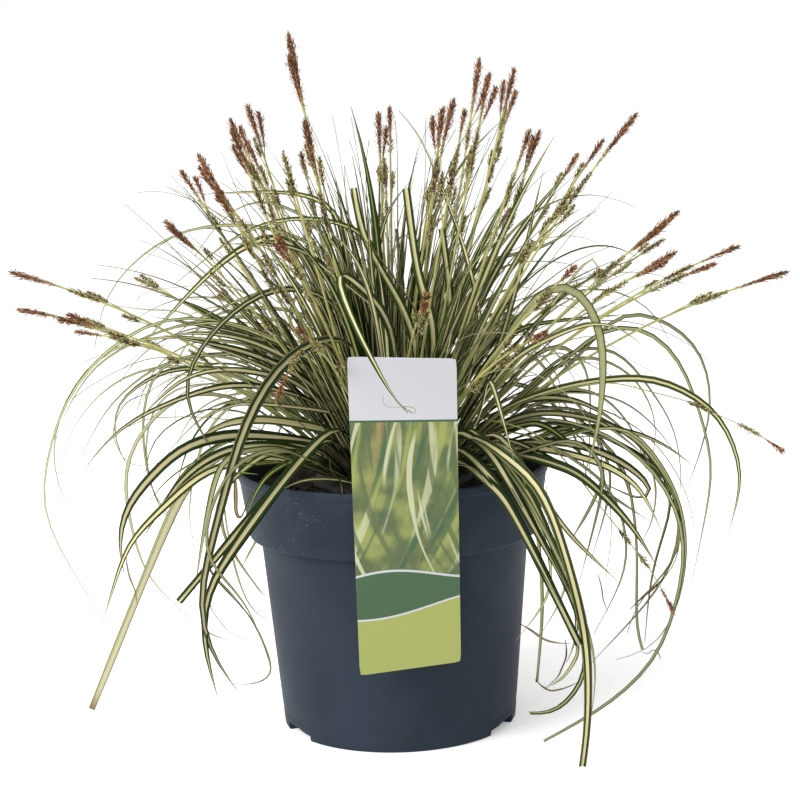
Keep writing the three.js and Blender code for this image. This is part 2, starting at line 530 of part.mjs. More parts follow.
function potGeometry() {
  const inner = POT.rimRadius - POT.lip;
  const collarBottom = POT.height - POT.bandHeight;
  const outline = [
    [0, 0],
    [POT.baseRadius - POT.corner, 0],
    [POT.baseRadius, POT.corner],
    [POT.shoulderRadius, collarBottom - 1.4],
    [POT.bandRadius - 1, collarBottom - 0.6],
    [POT.bandRadius, collarBottom + 0.4],
    [POT.rimRadius, POT.height - 1.6],
    [POT.rimRadius - 0.7, POT.height],
    [inner + 0.5, POT.height],
    [inner, POT.height - 1],
    [POT.bandRadius - POT.wall, collarBottom + 1.6],
    [POT.shoulderRadius - POT.wall + 0.2, collarBottom + 0.6],
    [POT.baseRadius - POT.wall, POT.floor],
    [0, POT.floor],
  ];
  const points = outline.map(([r, z]) => new THREE.Vector2(r, z));
  let body = solidOf(upright(new THREE.LatheGeometry(points, POT.facets)));
  for (let i = 0; i < NOTCH.count; i += 1) {
    const notch = new THREE.BoxGeometry(NOTCH.width, 20, NOTCH.height + 2);
    notch.translate(0, -(NOTCH.inner + 10), NOTCH.height / 2 - 1);
    notch.rotateZ((NOTCH.first + (i * 360) / NOTCH.count) * degrees);
    body = body.subtract(solidOf(notch));
  }
  for (let i = 0; i < DRAIN.count; i += 1) {
    const drain = new THREE.CylinderGeometry(DRAIN.radius, DRAIN.radius, POT.floor * 3, DRAIN.facets);
    drain.rotateX(Math.PI / 2);
    drain.translate(DRAIN.ring, 0, POT.floor / 2);
    drain.rotateZ(((i * 360) / DRAIN.count + 90) * degrees);
    body = body.subtract(solidOf(drain));
  }
  return geometryOf(mainBody(body));
}

// A lathe turned about Z instead of Y.
function upright(geometry) {
  return geometry.rotateX(Math.PI / 2);
}

function soilGeometry() {
  const collarBottom = POT.height - POT.bandHeight;
  const slope = (POT.rimRadius - POT.bandRadius) / POT.bandHeight;
  const edge = POT.bandRadius - POT.wall - GAP + slope * (SOIL.edgeHeight - collarBottom - 1.6);
  const outline = [
    [0, POT.floor + GAP],
    [POT.baseRadius - POT.wall - GAP, POT.floor + GAP],
    [POT.shoulderRadius - POT.wall - GAP, collarBottom + 0.6],
    [POT.shoulderRadius - POT.wall - GAP, collarBottom + 2.4],
    [POT.bandRadius - POT.wall - GAP - 0.2, collarBottom + 2.6],
    [edge - 0.6, SOIL.edgeHeight],
    [CROWN.radius + GAP, SOIL.innerHeight],
    [CROWN.radius + GAP, CROWN.bottom - GAP],
    [0, CROWN.bottom - GAP],
  ];
  const points = outline.map(([r, z]) => new THREE.Vector2(r, z));
  return geometryOf(solidOf(upright(new THREE.LatheGeometry(points, SOIL.facets))));
}

// The card is flat, with a strip folded back from it over the rim and down inside.
function cardGeometry() {
  const back = -(POT.rimRadius + GAP);
  const [leftTop, leftTopZ, rightTop, rightTopZ] = CARD.top;
  const [leftBottom, leftBottomZ, rightBottom, rightBottomZ] = CARD.bottom;
  const r = CARD.cornerRadius;
  const face = new THREE.Shape();
  face.moveTo(leftBottom, leftBottomZ + r);
  face.lineTo(leftTop, leftTopZ - r);
  face.lineTo(leftTop + r, leftTopZ);
  face.lineTo(rightTop - r, rightTopZ);
  face.lineTo(rightTop, rightTopZ - r);
  face.lineTo(rightBottom, rightBottomZ + r);
  face.lineTo(rightBottom - r, rightBottomZ);
  face.lineTo(leftBottom + r, leftBottomZ);
  face.closePath();
  const sheet = new THREE.ExtrudeGeometry(face, { depth: CARD.thickness, bevelEnabled: false });
  sheet.rotateX(Math.PI / 2); // the face now looks along -Y
  sheet.translate(0, back, 0);

  const over = POT.height + GAP;
  const side = new THREE.Shape(); // seen from +X, with y to the right
  side.moveTo(back - CARD.thickness / 2, TONGUE.root);
  side.lineTo(back - CARD.thickness / 2, over);
  side.lineTo(-TONGUE.inside, over);
  side.lineTo(-TONGUE.inside, TONGUE.bottom);
  side.lineTo(-TONGUE.inside + TONGUE.thickness, TONGUE.bottom);
  side.lineTo(-TONGUE.inside + TONGUE.thickness, over + TONGUE.thickness);
  side.lineTo(back + 0.2, over + TONGUE.thickness);
  side.lineTo(back + 0.2, TONGUE.root);
  side.closePath();
  const strip = new THREE.ExtrudeGeometry(side, { depth: 2 * TONGUE.halfWidth, bevelEnabled: false });
  strip.translate(0, 0, -TONGUE.halfWidth);
  strip.rotateY(Math.PI / 2);
  strip.rotateX(Math.PI / 2);

  const card = solidOf(sheet).add(solidOf(strip));
  return geometryOf(mainBody(card)).rotateZ(CARD.azimuth * degrees);
}

// ---------------------------------------------------------------- strands

// Where a strand leaves the crown: more spread strands leave it further out.
function rootOf(azimuth, lean) {
  const out = CROWN.rootRing * clamp(lean / 80, 0, 1) ** 0.6;
  const surface = mix(CROWN.topHeight, CROWN.edgeHeight, (out / CROWN.radius) ** 2);
  const [x, y] = [Math.cos(azimuth * degrees), Math.sin(azimuth * degrees)];
  const spread = Math.sin(lean * degrees);
  const direction = new THREE.Vector3(spread * x, spread * y, Math.cos(lean * degrees));
  return { leaving: new THREE.Vector3(out * x, out * y, surface), direction };
}

// The lean and azimuth at which a strand sets off towards a point.
function headingTo(place) {
  const azimuth = Math.atan2(place.y, place.x) / degrees;
  const lean = Math.atan2(Math.hypot(place.x, place.y), place.z - CROWN.bottom) / degrees;
  return { azimuth, lean };
}

function stemNodes([x, y, z, bow], bend, chords) {
  const tip = new THREE.Vector3(x, y, z);
  const { azimuth, lean } = headingTo(tip);
  const first = Math.max(lean - bow - bend, 1);
  const { leaving, direction } = rootOf(azimuth, first);
  const foot = leaving.clone().addScaledVector(direction, -STEM.depth);
  const knee = leaving.clone().addScaledVector(direction, 0.5 * leaving.distanceTo(tip));
  const curve = new THREE.QuadraticBezierCurve3(leaving, knee, tip);
  return [foot, ...curve.getPoints(chords)];
}

// The middle line of a leaf that bends over more and more, kept within the plant's spread.
function ruleNodes(leaf, chords) {
  const fine = arch(leaf, leaf.length);
  const reach = Math.max(...fine.map((p) => Math.hypot(p.x, p.y)));
  return evenly(reach > BLADE.reach ? arch(leaf, (leaf.length * BLADE.reach) / reach) : fine, chords);
}

function arch(leaf, length) {
  const { leaving, direction } = rootOf(leaf.azimuth, leaf.lean);
  const steps = 24;
  const fine = [leaving.clone().addScaledVector(direction, -CROWN.rootDepth), leaving];
  for (let i = 0; i < steps; i += 1) {
    const share = (i + 0.5) / steps;
    const lean = (leaf.lean + leaf.turn * share ** leaf.power) * degrees;
    const heading = (leaf.azimuth + leaf.sweep * share * share) * degrees;
    const step = length / steps;
    const last = fine[fine.length - 1];
    fine.push(new THREE.Vector3(
      last.x + step * Math.sin(lean) * Math.cos(heading),
      last.y + step * Math.sin(lean) * Math.sin(heading),
      last.z + step * Math.cos(lean),
    ));
  }
  return fine;
}

function placedNodes(route) {
  const points = route.map((p) => new THREE.Vector3(...p));
  const { azimuth, lean } = headingTo(points[0]);
  const { leaving, direction } = rootOf(azimuth, Math.min(lean, 80));
  const root = leaving.addScaledVector(direction, -CROWN.rootDepth);
  return evenly(smoothed([root, ...points]), clamp(route.length, ...BLADE.chords));
}

// A blade is narrow where it leaves the crown, widest before its middle, and drawn out to a point.
function bladeWidth(share, width, blunt) {
  const swell = mix(BLADE.rootShare, 1, clamp(share / BLADE.fullFrom, 0, 1));
  if (blunt) return width * swell * mix(1, BLADE.bluntShare, share);
  const narrowing = clamp((share - BLADE.taperFrom) / (1 - BLADE.taperFrom), 0, 1);
  return width * swell * (1 - narrowing ** BLADE.taperPower);
}

// The three corners of a blade's section at each node: left edge, right edge and keel.
function bladeSections(nodes, leaf) {
  const last = nodes.length - 1;
  const outward = Math.atan2(nodes[1].y, nodes[1].x);
  return nodes.map((node, i) => {
    const share = i / last;
    const along = nodes[Math.min(i + 1, last)].clone().sub(nodes[Math.max(i - 1, 0)]).normalize();
    const across = new THREE.Vector3(-Math.sin(outward), Math.cos(outward), 0);
    across.addScaledVector(along, -across.dot(along)).normalize();
    across.applyAxisAngle(along, leaf.roll * clamp(share / BLADE.rollBy, 0, 1) * degrees);
    const up = along.clone().cross(across);
    const half = bladeWidth(share, leaf.width, leaf.blunt) / 2;
    const keel = Math.max(BLADE.leastKeel, half * 2 * BLADE.keel);
    return [
      node.clone().addScaledVector(across, half),
      node.clone().addScaledVector(across, -half),
      node.clone().addScaledVector(up, -keel),
    ];
  });
}

// A three-sided blade: flat above, with a keel below.
function bladeGeometry(nodes, leaf) {
  const sections = bladeSections(nodes, leaf);
  const last = nodes.length - 1;
  return loft(sections.map((corners, i) => (i === last && !leaf.blunt ? [nodes[i]] : corners)));
}

// A three-sided stem that carries whorls of pointed scales: green ones, a gap, then the brown spike.
function stemGeometry(nodes, [, , , , maleLength, greenWhorls]) {
  const total = nodes.slice(1).reduce((sum, node, i) => sum + node.distanceTo(nodes[i]), 0);
  const maleWhorls = Math.round(maleLength / SPIKE.malePitch);
  const greenLength = greenWhorls * SPIKE.femalePitch;
  const spikeStart = total - maleLength;
  const greenStart = spikeStart - greenLength - (maleLength ? SPIKE.gap : 0);
  const stations = [[0, STEM.radius, 0]]; // distance from the foot, radius, whether turned half a side
  for (let i = 0; i < STEM.chords; i += 1) {
    const share = i / STEM.chords;
    stations.push([mix(STEM.depth, greenStart, share), mix(STEM.radius, STEM.neck, share), 0]);
  }
  const whorls = (start, count, pitch, tipRadius, core) => {
    for (let i = 0; i < count; i += 1) {
      const fade = Math.sqrt(Math.sin(Math.PI * ((i + 0.9) / (count + 0.6)))); // slimmer at both ends
      stations.push([start + i * pitch, core, 0]);
      stations.push([start + (i + SPIKE.tipShare) * pitch, core + (tipRadius - core) * fade, 1]);
    }
  };
  whorls(greenStart, greenWhorls, SPIKE.femalePitch, SPIKE.femaleTip, SPIKE.core);
  if (maleLength) {
    if (greenWhorls) stations.push([spikeStart - SPIKE.gap, STEM.neck, 0]);
    whorls(spikeStart, maleWhorls, maleLength / maleWhorls, SPIKE.maleTip, SPIKE.core);
  }
  stations.push([total, 0, 0]);

  const chain = evenlyAt(nodes, stations.map((s) => s[0]));
  return loft(chain.map(({ place, along }, i) => {
    const [, radius, half] = stations[i];
    return radius ? stemRing(nodes, place, along, radius, half) : [place];
  }));
}

// The corners of a stem's three-sided section, turned by half a side where asked.
function stemRing(nodes, place, along, radius, half) {
  const across = new THREE.Vector3(-nodes[1].y, nodes[1].x, 0).normalize();
  across.addScaledVector(along, -across.dot(along)).normalize();
  return [0, 1, 2].map((k) => {
    const angle = ((k + half / 2) * 2 * Math.PI) / STEM.sides;
    return place.clone().addScaledVector(across.clone().applyAxisAngle(along, angle), radius);
  });
}

// Places and directions at given distances along a polyline.
function evenlyAt(nodes, distances) {
  const along = [0];
  for (let i = 1; i < nodes.length; i += 1) along.push(along[i - 1] + nodes[i].distanceTo(nodes[i - 1]));
  return distances.map((distance) => {
    let i = 0;
    while (i + 2 < nodes.length && along[i + 1] < distance) i += 1;
    const share = clamp((distance - along[i]) / (along[i + 1] - along[i]), 0, 1);
    return {
      place: nodes[i].clone().lerp(nodes[i + 1], share),
      along: nodes[i + 1].clone().sub(nodes[i]).normalize(),
    };
  });
}

// ---------------------------------------------------------------- the plant

function stemHalves(nodes) {
  return nodes.map((_, i) => (i >= nodes.length - 2 ? CLEARANCE.spike : STEM.radius + STEM.hole));
}

// Each stem takes the first turn, and the first change of its bow, that keeps it clear of the rest.
function growStems() {
  const grown = [];
  const turns = turnsToTry(STEM_TRIES.turnStep, STEM_TRIES.mostTurn);
  const tries = turns.flatMap((turn) => STEM_TRIES.bends.map((bend) => [turn, bend]));
  STEMS.forEach((stem) => {
    for (const [turn, bend] of tries) {
      const nodes = turned(stemNodes(stem, bend, STEM.chords + 1), turn);
      const halves = stemHalves(nodes);
      const clear = clearOf(stemCapsules, [nodes], halves)
        && clearOfHolder(nodes.slice(2), CLEARANCE.spike, CLEARANCE.spike);
      if (clear) {
        addCapsules(stemCapsules, nodes, halves);
        grown.push({ stem, nodes });
        return;
      }
    }
  });
  return grown;
}

// The lines that stand for a blade when it is kept clear of others: its middle, edges and keel.
function bladeLines(leaf) {
  const sections = bladeSections(leaf.nodes, leaf);
  return [leaf.nodes, ...[0, 1, 2].map((k) => sections.map((corners) => corners[k]))];
}

// Whether a leaf stays clear of the stems and the holder when it is turned about the pot's axis.
function clearTurn(leaf, turn) {
  const rise = 1.6 + Math.abs(Math.sin(leaf.roll * degrees)) * leaf.width * 0.45;
  const moved = bladeLines(leaf).map((line) => turned(line, turn));
  const thickness = leaf.nodes.map(() => CLEARANCE.skin);
  const clear = clearOf(stemCapsules, moved, thickness)
    && clearOfHolder(moved[0].slice(1), leaf.width / 2, rise);
  return clear ? moved[0] : null;
}

// Each placed leaf takes the smallest turn that is clear.
function growPlacedLeaves() {
  const grown = [];
  LEAVES.forEach(([width, roll, route, blunt]) => {
    const leaf = { width, roll, blunt, nodes: placedNodes(route) };
    for (const turn of turnsToTry(PLACED_TRIES.turnStep, PLACED_TRIES.mostTurn)) {
      const nodes = clearTurn(leaf, turn);
      if (nodes) {
        grown.push({ ...leaf, nodes });
        return;
      }
    }
  });
  return grown;
}

// One leaf of a rule, with its form drawn at random.
function drawnLeaf(rule, i) {
  const leaf = {
    azimuth: mix(...rule.azimuths, (i * GOLDEN_SHARE) % 1) + AZIMUTH_JITTER * draw(),
    lean: drawIn(rule.lean),
    length: drawIn(rule.length),
    turn: drawIn(rule.turn),
    power: drawIn(rule.power),
    width: drawIn(rule.width),
    sweep: drawIn(SWEEP),
    roll: drawIn(ROLL),
  };
  return { ...leaf, nodes: ruleNodes(leaf, rule.chords) };
}

// The leaf's middle line after the turn about the pot's axis that crosses the fewest grown leaves,
// among the turns that keep it clear of the stems and the holder.
function leastCrossed(leaf, grown) {
  let best = { crossings: Infinity };
  for (const turn of turnsToTry(LEAF_TRIES.turnStep, LEAF_TRIES.mostTurn)) {
    const nodes = clearTurn(leaf, turn);
    if (nodes) {
      const crossings = countCrossings(nodes, leaf, grown);
      if (crossings < best.crossings) best = { crossings, nodes };
      if (crossings === 0) break;
    }
  }
  return best.nodes;
}

function growLeaves(placed) {
  const grown = [...placed];
  const places = (rule) => Array.from({ length: rule.count }, (_, i) => i);
  const wanted = LEAF_RULES.flatMap((rule) => places(rule).map((i) => drawnLeaf(rule, i)));
  wanted.forEach((leaf) => {
    const nodes = leastCrossed(leaf, grown);
    if (nodes) grown.push({ ...leaf, nodes });
  });
  return grown;
}

function crownSolid() {
  const outline = [
    [0, CROWN.bottom],
    [CROWN.radius, CROWN.bottom],
    [CROWN.radius, SOIL.innerHeight],
    [CROWN.radius - 3, CROWN.edgeHeight + 1.5],
    [CROWN.radius * 0.6, mix(CROWN.topHeight, CROWN.edgeHeight, 0.3)],
    [0, CROWN.topHeight],
  ];
  const points = outline.map(([r, z]) => new THREE.Vector2(r, z));
  return solidOf(upright(new THREE.LatheGeometry(points, CROWN.facets)));
}

// A plain hole in the crown round the foot of a flower stem, along the stem's own line.
function stemHole({ nodes }) {
  const [foot, leaving, next] = nodes;
  const under = foot.clone().sub(leaving).normalize();
  const above = next.clone().sub(leaving).normalize();
  const bottom = foot.clone().addScaledVector(under, GAP);
  const top = leaving.clone().addScaledVector(above, STEM.holeAbove);
  const ends = [[bottom, under.clone().negate()], [leaving, above], [top, above]];
  return solidOf(loft(ends.map(([end, line]) => stemRing(nodes, end, line, STEM.radius + 2 * STEM.hole, 0))));
}

const stems = growStems();
const leaves = growLeaves(growPlacedLeaves());

function clumpGeometry() {
  const blades = leaves.map((leaf) => solidOf(bladeGeometry(leaf.nodes, leaf)));
  const clump = Manifold.union([crownSolid(), ...blades]);
  const holes = Manifold.union(stems.map(stemHole));
  return geometryOf(mainBody(clump.subtract(holes)));
}

// ---------------------------------------------------------------- the assembly

const sedge = new THREE.Group();

function add(name, geometry, color, roughness) {
  const mesh = new THREE.Mesh(geometry, new THREE.MeshStandardMaterial({ color, roughness, metalness: 0 }));
  mesh.name = name;
  sedge.add(mesh);
}

add('pot', potGeometry(), 0x454b57, 0.55);
add('soil', soilGeometry(), 0x2b211a, 0.95);
add('label_card', cardGeometry(), 0xb9c86a, 0.4);
add('sedge_leaves', clumpGeometry(), 0x8f9a55, 0.5);
stems.forEach(({ stem, nodes }, i) => {
  add(`flower_stem_${String(i + 1).padStart(2, '0')}`, stemGeometry(nodes, stem), 0x8a5a3c, 0.7);
});

export default sedge;
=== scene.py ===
"""A variegated sedge in flower, in its nursery pot with a hang-on card.

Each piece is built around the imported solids. The plant's rules work in millimetres and degrees, and
the meshes are in metres, with +Z up and the front facing -Y.
"""

import math

import bpy
import numpy as np
from mathutils import Matrix, Vector
from mathutils.kdtree import KDTree


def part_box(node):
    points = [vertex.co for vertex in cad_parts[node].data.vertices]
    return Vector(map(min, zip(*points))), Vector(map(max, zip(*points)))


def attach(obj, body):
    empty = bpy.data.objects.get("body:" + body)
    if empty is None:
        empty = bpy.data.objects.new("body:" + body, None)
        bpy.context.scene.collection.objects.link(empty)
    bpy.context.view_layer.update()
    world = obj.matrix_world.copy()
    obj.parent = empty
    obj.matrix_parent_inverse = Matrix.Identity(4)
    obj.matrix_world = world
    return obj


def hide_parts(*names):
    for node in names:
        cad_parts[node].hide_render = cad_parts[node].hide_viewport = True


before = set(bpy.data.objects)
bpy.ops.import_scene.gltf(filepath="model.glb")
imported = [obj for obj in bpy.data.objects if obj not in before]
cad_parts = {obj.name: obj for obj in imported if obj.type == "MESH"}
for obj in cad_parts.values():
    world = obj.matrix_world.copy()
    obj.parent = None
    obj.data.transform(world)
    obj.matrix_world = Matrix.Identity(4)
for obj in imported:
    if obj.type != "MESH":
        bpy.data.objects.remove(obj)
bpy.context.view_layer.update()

bl_info = {
    "name": "Potted Sedge",
    "version": (1, 0, 0),
    "blender": (4, 5, 0),
    "location": "3D View > Sidebar > Sedge",
    "description": "Builds a variegated sedge in flower in its nursery pot",
    "category": "Add Mesh",
}

MM = 0.001
FULL_TURN = 2 * math.pi
PHASES = (0, 6.28)  # from which a wave's phase or a heading is drawn, in radians
ATLAS = "OFBake"  # the UV map that every finish with a pattern along a strand reads

# ---------------------------------------------------------------- the plant's driving values

POT = {
    "height": 160,
    "rim": 95,
    "lip": 2.6,
    "collar": 40,
    "collar_radius": 89.2,
    "shoulder": 82.3,
    "base": 72,
    "wall": 1.9,
    "floor": 3,
}
NOTCH = {
    "count": 3,
    "first": 60,
    "width": 28,
    "height": 5,
    "inner": 66.5,
    "side": 0.4,
    "columns": 14,
    "columns_between": 46,
}
DRAIN = {"count": 5, "radius": 4.5, "ring": 46}
SOIL = {"edge": 147, "inner": 150.2, "edge_at": 90, "radius": 89.6, "pocket": 134, "middle": 4}
CRUMB = {"girth": (0.6, 1.7), "dents": (0.6, 1.3), "outside": 88, "lift": 0.3}
FIBRE = {"count": 70, "outside": 84, "steps": 7, "step": 1.8, "bend": 0.5, "lift": 1.2, "radius": 0.22}
CROWN = {
    "radius": 49.6,
    "bottom": 131.4,
    "edge": 151.5,
    "top": 160,
    "ring": 46,
    "ring_lean": 80,
    "ring_power": 0.6,
    "depth": 9,
}
CARD = {
    "azimuth": 4.5,
    "thickness": 0.8,
    "top": (-30.5, 239, 30.5, 235.5),
    "bottom": (-29.5, 56, 28.5, 61),
    "back": -95.35,
    "half": 30.5,
    "tongue_half": 7,
    "tongue_inside": -89.9,
    "tongue_bottom": 148.4,
    "tongue_root": 168,
    "bow": 1.32,
    "corner_cut": 0.49,
}
STEM_DEPTH = 12  # how far a flower stem reaches into the crown
WHORL_STEP = 5.2  # length of green spike for each whorl
SPIKE_GAP = 5  # bare stem between the brown spike and the green one
LONG_SPIKE = 40  # a brown spike longer than this always has a second one beside it
SIDE_SPIKE = {"chance": 0.45, "below": 6, "lean": (10, 24), "long_lean": 6, "reach": (0.55, 0.8)}
LOW_SPIKE = {
    "below": 20,
    "spacing": (18, 28),
    "lowest": 0.45,
    "lean": (6, 16),
    "reach": (20, 36),
    "bare_share": (0.45, 0.65),
}
# Tubes: radius at the foot and at the tip, sides, and how far up the finish the foot lies.
STEM = ((1.05, 0.55), 6, 0)
SIDE_STALK = ((0.42, 0.34), 5, 0.55)
HANGING_STALK = ((0.5, 0.25), 5, 0.3)
SCALE_TONES = (0.03, 0.78)  # across the atlas; the threads lie beyond
BLADE = {
    "chords": (4, 7),
    "root_share": 0.3,
    "full_from": 0.35,
    "taper_from": 0.35,
    "taper_power": 1.3,
    "blunt_share": 0.55,
    "roll_by": 0.4,
    "keel": 0.21,
    "reach": 218,
}

# Flower stems: tip x, y, z, bow in degrees, length of the brown spike, whorls of the green one.
STEMS = [
    (-53, -10, 420, 5, 44, 4),
    (-44, -45, 369, 6, 36, 4),
    (-82, 30, 380, 5, 29, 0),
    (-96, 62, 372, 7, 26, 3),
    (-88, -22, 366, 6, 28, 4),
    (-88, 88, 358, 6, 25, 0),
    (-54, 98, 350, 6, 20, 3),
    (-104, -60, 352, 8, 34, 0),
    (-124, 22, 342, 8, 24, 2),
    (-92, -98, 336, 8, 20, 3),
    (-128, -34, 314, 9, 24, 0),
    (-57, -122, 308, 10, 22, 2),
    (-2, 40, 373, 4, 28, 2),
    (5, 75, 377, 5, 22, 0),
    (1, 118, 339, 8, 22, 2),
    (-55, -76, 352, 6, 0, 5),
    (-73, 130, 332, 8, 0, 4),
    (-223, -20, 286, 14, 30, 4),
    (-232, 38, 258, 15, 30, 4),
    (-188, -66, 262, 12, 22, 3),
    (-205, 85, 238, 16, 20, 4),
    (-168, 110, 270, 13, 0, 4),
    (60, 15, 403, 4, 34, 3),
    (62, -38, 390, 5, 24, 5),
    (84, 58, 398, 5, 32, 0),
    (87, 92, 385, 6, 24, 3),
    (43, -14, 379, 4, 34, 4),
    (35, -62, 374, 6, 24, 4),
    (54, 104, 374, 6, 20, 3),
    (83, -74, 360, 7, 22, 3),
    (97, 32, 359, 5, 27, 4),
    (116, 118, 343, 8, 25, 0),
    (140, 66, 352, 8, 25, 0),
    (151, -10, 367, 7, 38, 6),
    (104, -100, 328, 9, 0, 5),
    (40, -112, 348, 8, 0, 5),
    (32, 142, 326, 9, 0, 5),
    (86, 160, 306, 11, 22, 3),
    (172, -32, 310, 10, 36, 4),
    (218, 22, 285, 13, 26, 4),
    (240, -16, 271, 14, 32, 4),
    (213, 78, 270, 13, 30, 3),
    (163, -80, 290, 11, 28, 3),
    (186, 120, 284, 12, 0, 4),
    (150, 165, 260, 14, 20, 4),
    (104, -130, 288, 11, 18, 3),
    (33, -120, 275, 24, 20, 3),
    (97, -150, 256, 14, 24, 2),
    (-30, -160, 262, 14, 20, 3),
    (-118, 165, 252, 14, 22, 3),
    (-20, 178, 290, 12, 24, 2),
]
# Flower stalks that hang down: points along each, then its spikes as from, to and is brown.
HANGING = [
    ([(50, -20, 190), (90, -33, 178), (127, -45, 132), (141, -52, 114), (151, -62, 100), (162, -72, 78)],
     [(114, 125, False), (132, 143, False), (158, 172, True)]),
    ([(40, 0, 170), (72, -10, 194), (125, -24, 209), (154, -31, 204), (176, -35, 198), (193, -38, 190),
      (206, -40, 184), (218, -42, 177), (232, -44, 167)],
     [(152, 168, False), (184, 199, False), (203, 216, True)]),
    ([(-10, -20, 200), (-33, -60, 241), (-47, -104, 244), (-52, -110, 239), (-56, -112, 231),
      (-60, -113, 223), (-63, -114, 215)], [(108, 123, False), (125, 142, True)]),
]
STEM_NODES = [f"flower_stem_{number + 1:02d}" for number in range(len(STEMS))]
STEM_TURNS = (1, 10)  # step and most, degrees, as in the other turns below
STEM_BENDS = (0, 3, -3, 6)

